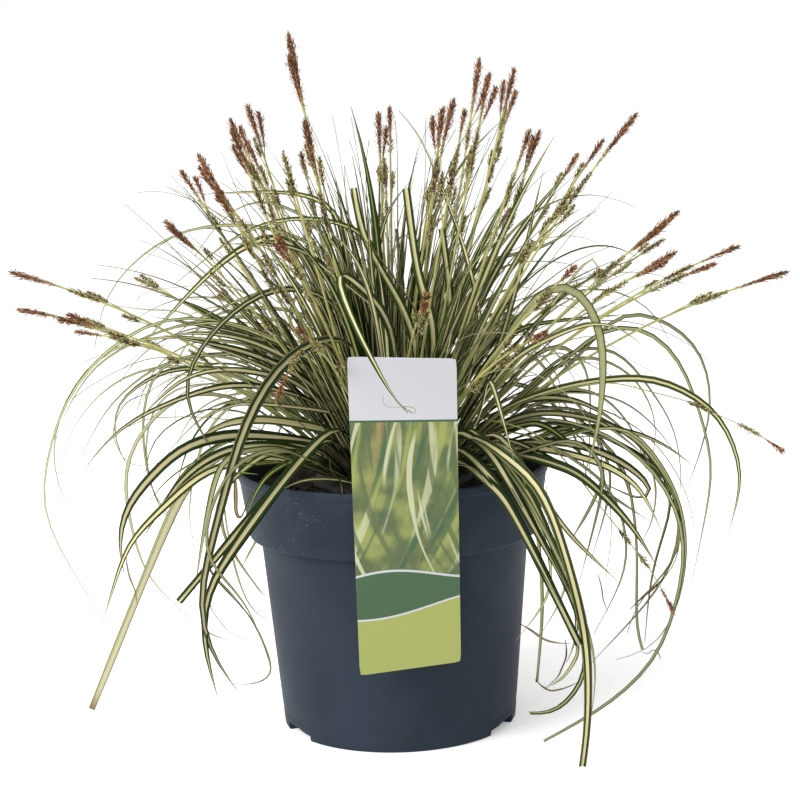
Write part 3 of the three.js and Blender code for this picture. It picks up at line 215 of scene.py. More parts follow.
# Placed leaves: width, roll, points along the leaf, whether its end is cut off blunt, and its look:
# b for bold stripes, t for those with a thin tip, u for upright ones that face the front, p for the
# pale underside, g for green, d for dry and w for withered.
LEAVES = [
    (2.6, -65, [(-54, -6, 231), (-98, -10, 252), (-136, -14, 256), (-173, -18, 235), (-186, -20, 220),
     (-198, -21, 203), (-212, -22, 154), (-211, -22, 136), (-180, -19, 72)], 0, "p"),
    (2.4, -65, [(-61, 2, 224), (-85, 3, 235), (-127, 4, 242), (-164, 6, 239), (-180, 6, 229),
     (-202, 7, 201), (-210, 7, 172), (-206, 7, 142), (-192, 7, 123)], 0, "p"),
    (2.6, -65, [(-54, 17, 242), (-78, 22, 249), (-102, 27, 251), (-144, 36, 242), (-181, 44, 225),
     (-193, 47, 214), (-212, 51, 184), (-217, 52, 169)], 0, "p"),
    (3, -65, [(-25, 4, 276), (-40, 6, 293), (-58, 8, 302), (-75, 11, 308), (-113, 16, 308),
     (-131, 18, 303), (-159, 22, 284), (-176, 25, 262), (-182, 26, 236)], 0, "p"),
    (5.8, -65, [(-32, 0, 243), (-49, -1, 289), (-56, -1, 301), (-68, -3, 303), (-81, -7, 299),
     (-106, -14, 281), (-147, -26, 240)], 0, "b"),
    (5, -65, [(-25, -11, 262), (-34, -15, 281), (-45, -20, 291), (-56, -26, 297),
     (-94, -40, 300)], 0, "b"),
    (4.2, -65, [(-4, 0, 285), (-12, 1, 300), (-24, 2, 308), (-57, 5, 312), (-88, 8, 303),
     (-130, 11, 273)], 0, "b"),
    (4.1, -65, [(-25, 11, 297), (-30, 14, 314), (-39, 18, 323), (-70, 31, 327), (-116, 48, 326)], 0, "b"),
    (4.1, -65, [(-23, -11, 244), (-31, -15, 262), (-41, -19, 269), (-51, -24, 272), (-66, -31, 273),
     (-79, -37, 268), (-101, -47, 251), (-116, -54, 230), (-120, -56, 218), (-118, -55, 207),
     (-100, -47, 170)], 0, "b"),
    (3.1, -65, [(-26, -1, 249), (-38, -2, 262), (-52, -3, 269), (-67, -4, 271), (-116, -6, 253),
     (-136, -7, 238)], 0, "p"),
    (5.8, -65, [(-33, -3, 210), (-51, -4, 229), (-86, -10, 247), (-104, -13, 252),
     (-129, -18, 249)], 0, "b"),
    (5.6, -65, [(-36, -1, 206), (-76, -7, 236), (-110, -17, 246), (-133, -24, 245)], 0, "b"),
    (5.6, -65, [(-39, -17, 204), (-77, -34, 233), (-130, -58, 250)], 0, "b"),
    (4.4, -65, [(-42, 0, 218), (-81, 0, 240), (-143, 0, 255)], 0, "b"),
    (4.6, -65, [(-41, -25, 203), (-87, -54, 236), (-110, -69, 245)], 0, "b"),
    (3.8, -65, [(-49, 2, 206), (-70, 1, 217), (-91, -2, 221), (-126, -7, 224), (-141, -9, 221),
     (-163, -12, 207), (-168, -12, 197), (-167, -12, 176), (-162, -11, 167)], 0, "b"),
    (3, -65, [(-55, 2, 218), (-78, 3, 227), (-100, 3, 231), (-137, 5, 226), (-150, 5, 219),
     (-174, 6, 199), (-192, 7, 169)], 0, "p"),
    (4.4, -65, [(-37, -19, 196), (-71, -34, 214), (-102, -45, 217), (-143, -57, 204), (-163, -64, 191),
     (-175, -68, 177)], 0, "b"),
    (4.4, -65, [(-45, -24, 209), (-62, -33, 219), (-94, -50, 228), (-120, -64, 224),
     (-143, -76, 204)], 0, "b"),
    (7.4, -65, [(-34, -17, 175), (-90, -41, 188), (-118, -53, 185), (-128, -57, 180), (-153, -67, 155),
     (-160, -70, 133), (-158, -69, 112)], 0, "b"),
    (7, -65, [(-28, -13, 179), (-44, -21, 187), (-76, -33, 195), (-102, -41, 193),
     (-120, -46, 179)], 0, "b"),
    (6, -65, [(-44, -30, 172), (-76, -51, 183), (-101, -68, 181), (-122, -82, 167),
     (-141, -95, 140)], 0, "b"),
    (5.4, -65, [(-48, -37, 165), (-63, -49, 174), (-78, -61, 177), (-102, -80, 175), (-113, -88, 170),
     (-142, -111, 146), (-149, -116, 136), (-161, -126, 101)], 0, "b"),
    (7.2, -65, [(-60, -35, 175), (-76, -44, 181), (-90, -52, 182), (-102, -59, 179), (-113, -65, 171),
     (-129, -74, 145), (-175, -101, 42)], 1, "d"),
    (6.8, -55, [(-3, -5, 200), (-12, -20, 226), (-22, -37, 240), (-33, -57, 247), (-55, -87, 241),
     (-72, -109, 223), (-84, -124, 199), (-98, -142, 153), (-108, -155, 115), (-102, -147, 85),
     (-90, -131, 59)], 0, "b"),
    (7, -40, [(-27, -40, 191), (-52, -77, 178), (-97, -143, 127), (-103, -152, 104), (-103, -153, 90),
     (-98, -146, 61)], 0, "b"),
    (7, -40, [(-33, -42, 184), (-53, -68, 176), (-116, -149, 116)], 1, "b"),
    (4.8, -65, [(-54, -48, 176), (-70, -63, 183), (-93, -83, 183), (-98, -88, 176), (-105, -95, 151),
     (-113, -102, 110)], 0, "p"),
    (2.4, -65, [(-76, -16, 221), (-104, -22, 233), (-124, -26, 234), (-136, -29, 229), (-143, -30, 219),
     (-148, -32, 194), (-146, -31, 161), (-142, -30, 145), (-119, -25, 121)], 0, "p"),
    (2.8, -65, [(-78, -17, 198), (-98, -24, 209), (-117, -32, 213), (-132, -38, 207), (-152, -45, 185),
     (-157, -47, 171), (-158, -47, 155), (-153, -45, 122), (-147, -43, 102), (-124, -35, 75)], 0, "d"),
    (3, -65, [(-66, -79, 182), (-79, -94, 185), (-88, -105, 181), (-94, -112, 172), (-95, -114, 158),
     (-94, -112, 141), (-75, -90, 101)], 0, "p"),
    (2.8, -65, [(-57, -91, 186), (-71, -113, 190), (-82, -131, 188), (-90, -145, 181), (-96, -154, 169),
     (-100, -160, 155), (-99, -159, 141), (-81, -130, 107), (-72, -116, 72)], 0, "p"),
    (4.4, -65, [(-43, -43, 170), (-54, -54, 174), (-65, -65, 172), (-75, -75, 165),
     (-84, -84, 148)], 0, "g"),
    (4.2, -65, [(-43, -27, 174), (-76, -47, 183), (-97, -60, 176)], 0, "b"),
    (4.4, -65, [(-44, -37, 171), (-58, -49, 178), (-73, -62, 179), (-84, -71, 173), (-94, -79, 165),
     (-100, -84, 155), (-102, -86, 141)], 0, "b"),
    (3.6, -65, [(-28, -22, 191), (-44, -35, 200), (-79, -55, 208), (-93, -62, 208),
     (-112, -70, 200)], 0, "b"),
    (3.5, -65, [(-43, -30, 168), (-108, -76, 174)], 0, "g"),
    (3, -65, [(-34, 27, 291), (-53, 41, 311), (-72, 52, 321), (-92, 64, 318), (-109, 75, 305),
     (-124, 83, 286)], 0, "p"),
    (3, -65, [(-42, 15, 242), (-63, 23, 254), (-82, 28, 256), (-102, 33, 254), (-118, 37, 246),
     (-138, 43, 216), (-144, 44, 200)], 0, "p"),
    (2.9, -65, [(-56, 15, 199), (-75, 24, 203), (-95, 34, 197), (-112, 42, 184), (-123, 47, 164),
     (-130, 50, 140), (-133, 51, 117), (-130, 50, 99)], 0, "p"),
    (4.6, 10, [(4, -58, 246), (-20, -105, 286), (-25, -117, 290), (-24, -126, 283), (-19, -133, 271),
     (-12, -139, 254), (-2, -141, 235), (4, -138, 220), (12, -134, 212)], 1, "t"),
    (7, 75, [(16, -20, 235), (-11, -38, 298), (-17, -45, 330)], 1, "u"),
    (4.2, 70, [(-10, -6, 244), (-8, -5, 268), (0, 0, 310), (15, 13, 330)], 0, "b"),
    (8, 80, [(28, -34, 236), (20, -44, 280), (15, -55, 329)], 1, "u"),
    (8.5, 85, [(10, 18, 240), (7, 24, 302)], 1, "p"),
    (7.8, 85, [(37, -5, 242), (34, -8, 303)], 1, "u"),
    (4.6, 70, [(54, -15, 234), (48, -4, 286), (42, 1, 307), (24, 15, 356), (11, 22, 373)], 0, "b"),
    (4.2, 70, [(66, 0, 228), (96, 0, 335)], 0, "b"),
    (4.3, 70, [(11, 10, 253), (26, 18, 296), (36, 22, 310), (45, 26, 317)], 0, "b"),
    (3.9, 70, [(42, 30, 250), (52, 36, 271), (65, 42, 280), (103, 54, 287), (137, 62, 310)], 0, "p"),
    (3.4, 70, [(85, -25, 240), (119, -39, 286), (123, -41, 288), (126, -43, 282),
     (118, -47, 262)], 0, "p"),
    (4.6, 70, [(-26, 1, 243), (-22, 3, 261), (-28, 9, 291), (-38, 18, 302), (-65, 38, 313)], 0, "b"),
    (4.4, -70, [(4, -14, 235), (-5, -18, 256), (-51, -25, 297), (-64, -31, 326)], 0, "b"),
    (4.7, 60, [(21, -36, 237), (7, -45, 273), (-18, -56, 309)], 0, "b"),
    (5, 65, [(48, -7, 177), (69, -10, 195), (111, -16, 208), (153, -21, 212), (173, -24, 205),
     (195, -27, 190), (207, -29, 163), (209, -29, 147), (201, -28, 117)], 0, "b"),
    (3.2, 65, [(106, 19, 209), (139, 25, 243), (152, 27, 247), (164, 29, 244), (189, 33, 228),
     (197, 35, 216), (203, 36, 186), (194, 34, 151), (184, 32, 127)], 0, "p"),
    (3.6, 65, [(100, 20, 210), (134, 23, 238), (148, 24, 239), (160, 25, 236), (182, 27, 214),
     (201, 28, 154), (201, 28, 136), (188, 27, 72)], 0, "p"),
    (3, 65, [(99, 47, 208), (112, 51, 219), (128, 57, 221), (143, 63, 219), (156, 68, 208),
     (181, 77, 172), (187, 79, 157), (191, 81, 128), (189, 80, 117)], 0, "p"),
    (3.2, 65, [(92, 49, 199), (106, 56, 210), (123, 65, 214), (138, 73, 211), (152, 81, 203),
     (164, 87, 192), (176, 94, 166), (175, 93, 149), (170, 90, 133)], 0, "p"),
    (5, 65, [(67, 2, 181), (88, 3, 188), (110, 4, 186), (144, 5, 175), (156, 5, 165), (176, 6, 135),
     (180, 6, 117), (183, 6, 99), (176, 6, 62)], 0, "b"),
    (3.6, 65, [(71, 15, 183), (93, 20, 190), (126, 27, 183), (157, 33, 162), (170, 36, 148),
     (179, 38, 131), (183, 39, 113), (182, 39, 93), (174, 37, 76), (162, 34, 59), (122, 26, 20)], 0, "p"),
    (3.8, 65, [(53, -15, 178), (78, -20, 189), (101, -25, 189), (124, -32, 182), (145, -38, 169),
     (159, -45, 153), (168, -52, 135), (171, -58, 115), (166, -65, 93), (150, -84, 58), (118, -106, 37),
     (80, -124, 23)], 1, "p"),
    (7.6, 65, [(65, -45, 234), (88, -54, 268), (98, -58, 274), (108, -61, 272), (115, -64, 263),
     (123, -66, 238), (120, -65, 191), (111, -62, 160)], 0, "p"),
    (4.1, 65, [(83, 42, 210), (96, 50, 221), (109, 57, 223), (121, 65, 217), (128, 68, 203),
     (130, 70, 185), (128, 68, 146), (129, 69, 131)], 0, "p"),
    (6, 65, [(59, -13, 170), (101, -22, 174), (122, -26, 169), (139, -30, 161), (153, -33, 149),
     (157, -34, 142), (153, -33, 138), (146, -32, 139), (124, -27, 150)], 0, "b"),
    (6.2, 65, [(62, -29, 170), (99, -46, 164), (114, -53, 156), (137, -64, 132),
     (152, -71, 107)], 0, "b"),
    (4.2, 45, [(62, -20, 177), (100, -32, 162), (150, -49, 130)], 0, "b"),
    (4.6, 40, [(58, -45, 186), (74, -58, 169), (99, -78, 132), (126, -98, 106)], 0, "b"),
    (3.9, 65, [(106, 28, 172), (125, 34, 170), (139, 37, 158), (149, 40, 140), (155, 42, 97),
     (154, 41, 36), (158, 42, 24)], 1, "p"),
    (4.2, 50, [(80, 11, 179), (105, 15, 179), (130, 18, 171), (168, 24, 147), (176, 25, 132),
     (175, 25, 120), (162, 23, 80), (157, 22, 36)], 0, "g"),
    (3.5, 65, [(99, -46, 179), (113, -53, 177), (121, -57, 169), (123, -57, 154),
     (109, -51, 96)], 0, "p"),
    (3.6, 65, [(116, 38, 174), (131, 42, 163), (138, 45, 148), (139, 45, 129), (125, 40, 84)], 0, "p"),
    (3.9, 40, [(60, -60, 183), (69, -69, 175), (76, -76, 162), (81, -81, 142), (84, -84, 93),
     (80, -80, 43)], 1, "p"),
    (3.2, 65, [(59, -66, 171), (73, -81, 157), (83, -92, 137), (88, -97, 120), (88, -98, 105),
     (83, -92, 91), (69, -77, 68)], 0, "p"),
    (3.1, 40, [(60, -66, 184), (86, -95, 151), (93, -104, 130), (97, -107, 113), (93, -104, 98),
     (82, -91, 75)], 0, "p"),
    (7.6, 50, [(41, -57, 188), (68, -93, 176), (79, -109, 168), (86, -119, 155), (96, -132, 120),
     (103, -141, 83), (103, -141, 39), (100, -137, 12)], 1, "b"),
    (6, 45, [(36, -51, 188), (48, -67, 184), (59, -81, 175), (95, -126, 109)], 0, "b"),
    (8.2, 12, [(35, -59, 181), (56, -93, 167), (66, -110, 153), (97, -162, 89)], 1, "b"),
    (7.4, 10, [(34, -61, 174), (56, -100, 164), (65, -118, 154), (88, -159, 110)], 0, "b"),
    (3.6, 35, [(51, -57, 180), (78, -87, 150), (102, -114, 98), (110, -122, 65),
     (107, -119, 34)], 0, "p"),
    (6, 25, [(42, -43, 190), (61, -64, 175), (77, -79, 157), (87, -90, 134), (101, -105, 98),
     (101, -105, 74), (96, -100, 61)], 0, "b"),
    (4.1, 55, [(59, -78, 172), (74, -98, 150), (97, -128, 105), (104, -138, 73), (100, -133, 57),
     (93, -124, 45), (86, -114, 35), (74, -99, 31)], 1, "g"),
    (4.4, 20, [(49, -45, 190), (56, -68, 220), (59, -78, 217), (68, -106, 179)], 0, "b"),
    (5.2, 65, [(60, -10, 177), (78, -12, 183), (93, -13, 183), (120, -16, 160)], 0, "g"),
    (5, 65, [(60, 3, 177), (79, 2, 186), (97, 2, 188), (116, 1, 185), (131, 0, 180),
     (157, 0, 158)], 0, "b"),
    (5.4, 65, [(68, -21, 170), (86, -26, 172), (118, -36, 165), (132, -40, 159), (146, -45, 148),
     (158, -48, 123)], 0, "b"),
    (5, 65, [(61, 14, 182), (80, 16, 193), (99, 20, 195), (118, 23, 191), (134, 25, 182),
     (149, 27, 169)], 0, "b"),
    (3.6, 65, [(84, 70, 186), (101, 85, 190), (118, 99, 184), (132, 111, 166), (141, 118, 142),
     (145, 122, 117), (144, 121, 99)], 0, "p"),
    (2.8, 40, [(68, -25, 183), (118, -43, 159), (132, -48, 141), (137, -50, 119), (135, -49, 97),
     (118, -43, 61)], 0, "p"),
    (3.4, 65, [(129, 11, 178), (154, 13, 164), (171, 15, 141), (180, 16, 115), (176, 15, 90),
     (150, 13, 62), (145, 13, 45)], 0, "g"),
    (3, 65, [(133, -7, 181), (157, -8, 165), (173, -9, 139), (179, -9, 108), (176, -9, 77), (168, -9, 54),
     (155, -8, 37), (136, -7, 33)], 0, "p"),
    (3.6, 65, [(71, 60, 221), (92, 76, 234), (162, 124, 234)], 0, "g"),
    (4.4, 65, [(54, -36, 203), (65, -42, 220), (79, -48, 233), (110, -62, 248), (124, -68, 250),
     (135, -73, 246), (143, -77, 238)], 0, "b"),
    (3, 65, [(95, 44, 189), (115, 54, 195), (135, 63, 189), (152, 71, 172), (162, 76, 153),
     (168, 78, 129)], 0, "p"),
    (3.1, 65, [(80, 67, 173), (101, 85, 171), (126, 106, 155), (141, 118, 132), (148, 124, 106),
     (149, 125, 78), (144, 121, 54)], 0, "p"),
]
PLACED_TURNS = (1, 15)
ROLLED_SHARE = 0.82  # what shows of the width of a leaf whose pale edges roll in

# Leaves drawn by rule: count, chords, then ranges of azimuth, lean, length, turn, power and width.
LEAF_RULES = [
    (44, 4, (0, 360), (3, 34), (150, 225), (8, 55), (1.3, 2.6), (3.4, 5.4)),
    (20, 5, (35, 145), (20, 58), (200, 300), (85, 140), (1.1, 1.9), (3.4, 5)),
    (16, 4, (5, 175), (54, 80), (120, 210), (55, 105), (0.8, 1.4), (3.6, 5.6)),
]
LEAF_SWEEPS = (-28, 28)
LEAF_ROLLS = (-75, 75)
AZIMUTH_JITTER = 8
GOLDEN_SHARE = 0.618034
GOLDEN_ANGLE = 137.508
LEAF_TURNS = (1.5, 24)

# Finer leaves: share of the asked count, then ranges of azimuth, lean, length, turn, power and
# width, how wavy they are, and their looks.
FINE_RULES = [
    (0.44, (-10, 190), (2, 33), (110, 220), (5, 55), (1.3, 2.8), (1.6, 3.8), 2.5, "bgbg"),
    (0.12, (190, 350), (2, 33), (80, 150), (5, 50), (1.3, 2.8), (1.6, 3.8), 2.5, "bgb"),
    (0.04, (20, 160), (30, 50), (120, 190), (30, 75), (1.2, 2.2), (2.0, 3.8), 3, "bgb"),
    (0.12, (20, 160), (15, 60), (180, 300), (80, 145), (1.1, 2.0), (1.8, 3.4), 5, "bpb"),
    (0.05, (0, 360), (58, 82), (50, 95), (20, 70), (0.8, 1.6), (2.4, 4.6), 3, "bgd"),
    (0.05, (20, 160), (15, 62), (120, 270), (60, 150), (1.2, 2.2), (1.0, 1.7), 12, "pdp"),
    (0.012, (160, 380), (15, 50), (120, 270), (60, 150), (1.2, 2.2), (1.0, 1.7), 12, "pdp"),
]
# Thin hanging leaves and withered ends, which only show: width, points along each, and its look.
WISPS = [
    (1.3, [(-77, -20, 203), (-100, -22, 215), (-125, -24, 214), (-140, -26, 203), (-146, -28, 185),
     (-146, -30, 166), (-141, -30, 145), (-133, -30, 134), (-119, -30, 122)], "p"),
    (2.2, [(-83, 14, 124), (-87, 16, 111), (-92, 18, 102), (-97, 20, 93)], "p"),
    (2.2, [(-105, 12, 119), (-101, 16, 103), (-97, 20, 93), (-90, 26, 80), (-83, 32, 68)], "p"),
    (1.8, [(-104, -10, 150), (-104, -6, 136), (-103, 0, 120), (-100, 8, 94), (-95, 16, 73), (-89, 24, 61),
     (-81, 30, 54)], "p"),
    (2.4, [(-114, -40, 112), (-108, -38, 101), (-101, -34, 91), (-95, -30, 82), (-89, -26, 72)], "g"),
    (1.7, [(-96, -31, 84), (-89, -27, 72), (-85, -24, 63), (-82, -22, 54), (-79, -20, 43), (-79, -20, 35),
     (-84, -22, 31), (-91, -24, 30), (-99, -26, 30)], "w"),
    (0.7, [(-111, -60, 95), (-108, -60, 86), (-104, -58, 79), (-99, -56, 72), (-89, -54, 66)], "p"),
    (0.9, [(-112, -90, 88), (-109, -90, 83), (-104, -88, 79), (-97, -86, 76)], "w"),
    (2.6, [(-94, -50, 169), (-92, -54, 162), (-92, -56, 151), (-92, -56, 144), (-90, -54, 140),
     (-87, -50, 145), (-84, -46, 153)], "w"),
    (1, [(-145, -10, 210), (-160, -12, 204), (-168, -14, 188), (-166, -14, 178), (-162, -14, 170),
     (-155, -14, 166), (-141, -12, 167)], "p"),
    (1.2, [(-151, -100, 130), (-149, -104, 120), (-146, -106, 112), (-145, -106, 103)], "w"),
    (1.6, [(-93, -92, 174), (-86, -90, 174), (-76, -86, 172)], "g"),
    (2.8, [(128, -20, 155), (123, -22, 142), (116, -26, 130), (106, -30, 115)], "p"),
    (2.2, [(100, -110, 79), (101, -112, 72), (99, -114, 66), (92, -116, 57), (83, -118, 52)], "p"),
    (1.1, [(79, -84, 46), (82, -86, 43), (87, -90, 41), (94, -96, 44), (99, -102, 48),
     (103, -108, 52)], "w"),
    (1.4, [(72, -60, 73), (78, -64, 70), (86, -72, 66), (94, -80, 66), (99, -84, 67)], "w"),
    (1.1, [(99, -60, 62), (99, -62, 53), (96, -64, 46), (93, -66, 41), (86, -68, 36)], "w"),
    (0.9, [(122, -30, 94), (124, -30, 85), (125, -30, 77), (128, -30, 69)], "w"),
    (0.9, [(165, 10, 27), (163, 10, 32), (160, 10, 33), (157, 10, 31), (153, 10, 32)], "w"),
    (2.8, [(105, 20, 174), (130, 16, 170), (154, 12, 157), (168, 8, 139), (175, 4, 119), (176, 0, 103),
     (171, -2, 89), (163, -4, 80)], "p"),
    (3, [(166, -4, 83), (160, -5, 78), (153, -6, 73), (144, -8, 65)], "w"),
    (1.8, [(152, 0, 166), (158, -2, 154), (161, -4, 138), (158, -6, 120), (150, -8, 104)], "p"),
    (0.6, [(3, -136, 220), (7, -136, 216), (13, -136, 212), (14, -137, 215), (9, -137, 216),
     (1, -137, 216), (-3, -137, 218), (-3, -137, 222)], "d"),
    (3.2, [(-10, -42, 152), (-25, -60, 161), (-36, -70, 165), (-47, -80, 167), (-56, -86, 166),
     (-63, -90, 163)], "b"),
    (2.4, [(-29, -66, 150), (-29, -70, 162), (-33, -72, 168), (-35, -74, 173), (-35, -76, 178)], "g"),
]
FINE_SWEEPS = (-32, 32)
FINE_ROLLS = (-80, 80)
FINE_JITTER = (0, 12)
FINE_THINNER = 0.8  # how thick a fine leaf is, against a broad one
FRONT_LIMIT = -166  # no fine leaf reaches further to the front
FLOOR_LIMIT = 4  # nor nearer to the ground
# Seeds of the random numbers: the solid's leaves, then each piece, then the first flower stem.
SEED = 20231
SEEDS = {"broad": 7, "fine": 29, "crown": 41, "hanging": 77, "crumbs": 11, "fibres": 12}
STEM_SEED = 1000
LOOKS = 48  # leaf patterns side by side on the atlas
LOOK_RANGES = {
    "w": (0, 3),
    "d": (3, 6),
    "g": (6, 12),
    "p": (12, 24),
    "b": (24, 48),
    "t": (32, 33),
    "u": (47, 48),
}
# A blade in section, from edge to edge and back: reach to the side, and depth below the face.
SECTION = ((1, 0.5, 0, -0.5, -1, -0.5, 0, 0.5), (0, 0, 0, 0, 0, 0.8, 1, 0.8))
NARROW_SECTION = ((1, 0, -1, 0), (0, 0, 0, 1))
NARROW = 3.4  # blades below this width have the plainer section
THINNEST = 0.12  # half of the least width
SEGMENTS = {"broad": 30, "long": 24, "short": 16, "sheath": 8}
# How the drawn widths differ from the solid's: with a thin dried tip, full for longer, or even.
TIPPED = {"share": 1.1, "swell": 0.75, "dried": 0.93, "power": 6}
FULL = {"share": 0.94, "taper_from": 0.45, "power": 2.2}
STRAND = {"foot": 0.15, "foot_share": 0.35, "taper": 0.9, "power": 3}
# Room that a fine leaf keeps below its middle line, inside the rim, beside, over and at the card.
ROOM = {"below": 1.2, "crown": 2, "inside": 6, "beside": 1, "over": 0.8, "card": 2, "card_depth": 3.5}
FOLDING = (1.25, 0.7)  # how sharply a blade folds at its foot and at its tip
RIPPLE = {"reach": 0.06, "waves": 19}
MORE_TWIST = (-25, 25)  # degrees over the whole length

# Lamps: name, place and width, in metres. Each is turned to the aim.
LAMPS = (("key", (-1.4, -1.1, 1.2), 1.1), ("fill", (1.3, -0.9, 0.8), 1.0))
AIM = (0, 0, 0.2)
CAMERA_TARGET = (0.0058, 0, 0.199)
SENSOR = 36
FLOOR_HALF = 40.0


def linear(red, green, blue):
    """A colour given in sRGB's 0 to 255, as linear numbers."""
    shares = [value / 255 for value in (red, green, blue)]
    return tuple(s / 12.92 if s <= 0.04045 else ((s + 0.055) / 1.055) ** 2.4 for s in shares)


def mix(a, b, share):
    return a + (b - a) * share


def clamp(value, low, high):
    return min(max(value, low), high)


def scaled(tint, factor):
    return tuple(part * factor for part in tint)


# ---------------------------------------------------------------- settings


def colour(name, description, default):
    return bpy.props.FloatVectorProperty(
        name=name, description=description, default=default, subtype="COLOR", min=0, max=1
    )


def number(name, description, default, **more):
    return bpy.props.FloatProperty(name=name, description=description, default=default, **more)


def size(name, description, default):
    return number(name, description, default, unit="LENGTH")


def angle(name, description, degrees):
    return number(name, description, math.radians(degrees), subtype="ANGLE")


def share(name, description, default):
    return number(name, description, default, min=0, max=1, subtype="FACTOR")


def amount(name, description, default):
    return bpy.props.IntProperty(name=name, description=description, default=default, min=0)


class SedgeStageSettings(bpy.types.PropertyGroup):
    """Floor, light and camera."""

    floor: colour("Floor", "Colour of the floor", (0.97, 0.97, 0.97))
    glow: share("Glow", "Light the floor gives off by itself, so that it stays white", 0.2)
    daylight: number("Daylight", "Strength of the even light from all round", 1.0)
    key: number("Key light", "Power of the large light at the left", 46, unit="POWER")
    fill: number("Fill light", "Power of the light at the right", 0.1, unit="POWER")
    distance: size("Camera distance", "From the camera to the point it looks at", 1.1)
    elevation: angle("Elevation", "Camera's angle above level", 8.6)
    roll: angle("Roll", "Camera's turn about its own line", -1.79)
    lens: number("Lens", "Focal length in mm on a 36 mm sensor", 81, unit="CAMERA")


class SedgePotSettings(bpy.types.PropertyGroup):
    """The nursery pot."""

    rim_radius: size("Rim radius", "Outer radius of the rim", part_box("pot")[1].x)
    height: size("Height", "Height of the pot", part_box("pot")[1].z)
    plastic: colour("Plastic", "Colour of the pot", linear(39, 47, 57))
    scuff: colour("Scuffs", "Colour of scratches and dust", linear(98, 105, 116))
    dirt: colour("Dirt", "Colour of soil specks near the foot", linear(48, 40, 34))


class SedgeSoilSettings(bpy.types.PropertyGroup):
    """The soil round the crown."""

    lump: size("Lumps", "Height of the surface's lumps", 0.0022)
    crumbs: amount("Crumbs", "Loose crumbs on the surface", 420)
    dark: colour("Dark peat", "Darkest colour of the soil", linear(20, 15, 11))
    light: colour("Light peat", "Lightest colour of the soil", linear(62, 48, 34))


class SedgeCardSettings(bpy.types.PropertyGroup):
    """The hang-on card with its plain printed pattern."""

    header: colour("Header", "Colour of the card's top", linear(166, 166, 170))
    deep: colour("Deep green", "Darkest green of the print", linear(37, 70, 36))
    lime: colour("Lime", "Lightest green of the print", linear(130, 137, 66))
    shade: colour("Shade", "Dark ground behind the printed strokes", linear(64, 78, 38))
    stroke: colour("Stroke", "Pale colour of the printed bands", linear(168, 170, 138))
    warm: colour("Warm touch", "Brown of a few printed bands", linear(128, 96, 62))


class SedgeLeafSettings(bpy.types.PropertyGroup):
    """Striped leaves and the sheaths they grow from."""

    fine: amount("Fine leaves", "Thin leaves between the large ones", 500)
    sheaths: amount("Sheaths", "Short dry leaf bases round the crown", 240)
    thickness: size("Thickness", "Thickness of a leaf at its middle", 0.00035)
    cream: colour("Stripe", "Colour of the middle stripe", linear(200, 189, 146))
    young: colour("Green stripe", "Stripe of the greener leaves", linear(134, 146, 58))
    pale: colour("Underside", "Stripe seen from a leaf's paler side", linear(156, 156, 114))
    green: colour("Margin", "Darkest colour of the margins", linear(24, 42, 9))
    sage: colour("Pale margin", "Colour of the paler margins", linear(76, 94, 36))
    straw: colour("Straw", "Colour of dried leaves", linear(150, 146, 118))
    tip: colour("Tip", "Colour of withered tips", linear(96, 66, 42))


class SedgeFlowerSettings(bpy.types.PropertyGroup):
    """Flower stems and their spikes."""

    stem: colour("Stem", "Colour of the flower stems", linear(166, 161, 98))
    stem_base: colour("Stem base", "Colour of the stems low down", linear(104, 112, 56))
    brown: colour("Brown scales", "Colour of the top spikes' scales", linear(144, 93, 53))
    brown_dark: colour("Dark scales", "Darkest brown of the top spikes", linear(66, 39, 23))
    anther: colour("Anthers", "Colour of the threads on the top spikes", linear(158, 112, 68))
    olive: colour("Green fruit", "Colour of the lower spikes' fruit", linear(140, 130, 66))
    thread: colour("Threads", "Colour of the fine threads on the lower spikes", linear(206, 198, 160))
    brown_radius: size("Brown spike radius", "Half the width of a top spike", 0.002)
    green_radius: size("Green spike radius", "Half the width of a lower spike", 0.0018)


SETTINGS = {
    "stage": SedgeStageSettings,
    "pot": SedgePotSettings,
    "soil": SedgeSoilSettings,
    "card": SedgeCardSettings,
    "leaf": SedgeLeafSettings,
    "flower": SedgeFlowerSettings,
}


# ---------------------------------------------------------------- finishes


def operation(name, reflected=False):
    """A method that adds one Math node."""

    def method(self, *others):
        values = (*others, self) if reflected else (self, *others)
        return self.math(name, *values)

    return method


class Field:
    """A shader socket that Python expressions can use. Each operation adds its Math node."""

    def __init__(self, finish, socket):
        self.finish = finish
        self.socket = socket

    def math(self, name, *values):
        return self.finish.node("ShaderNodeMath", {"operation": name}, dict(enumerate(values)))

    __add__ = operation("ADD")
    __radd__ = operation("ADD", reflected=True)
    __sub__ = operation("SUBTRACT")
    __rsub__ = operation("SUBTRACT", reflected=True)
    __mul__ = operation("MULTIPLY")
    __rmul__ = operation("MULTIPLY", reflected=True)
    __lt__ = operation("LESS_THAN")
    __gt__ = operation("GREATER_THAN")
    __abs__ = operation("ABSOLUTE")
    floor = operation("FLOOR")
    fract = operation("FRACT")
    sine = operation("SINE")
    larger = operation("MAXIMUM")

    def rise(self, low, high):
        """0 below low, 1 above high and a smooth step between. With low above high it falls."""
        settings = {"interpolation_type": "SMOOTHSTEP"}
        inputs = {"Value": self, "From Min": low, "From Max": high}
        if low > high:
            inputs = {"Value": self, "From Min": high, "From Max": low, "To Min": 1.0, "To Max": 0.0}
        return self.finish.node("ShaderNodeMapRange", settings, inputs)


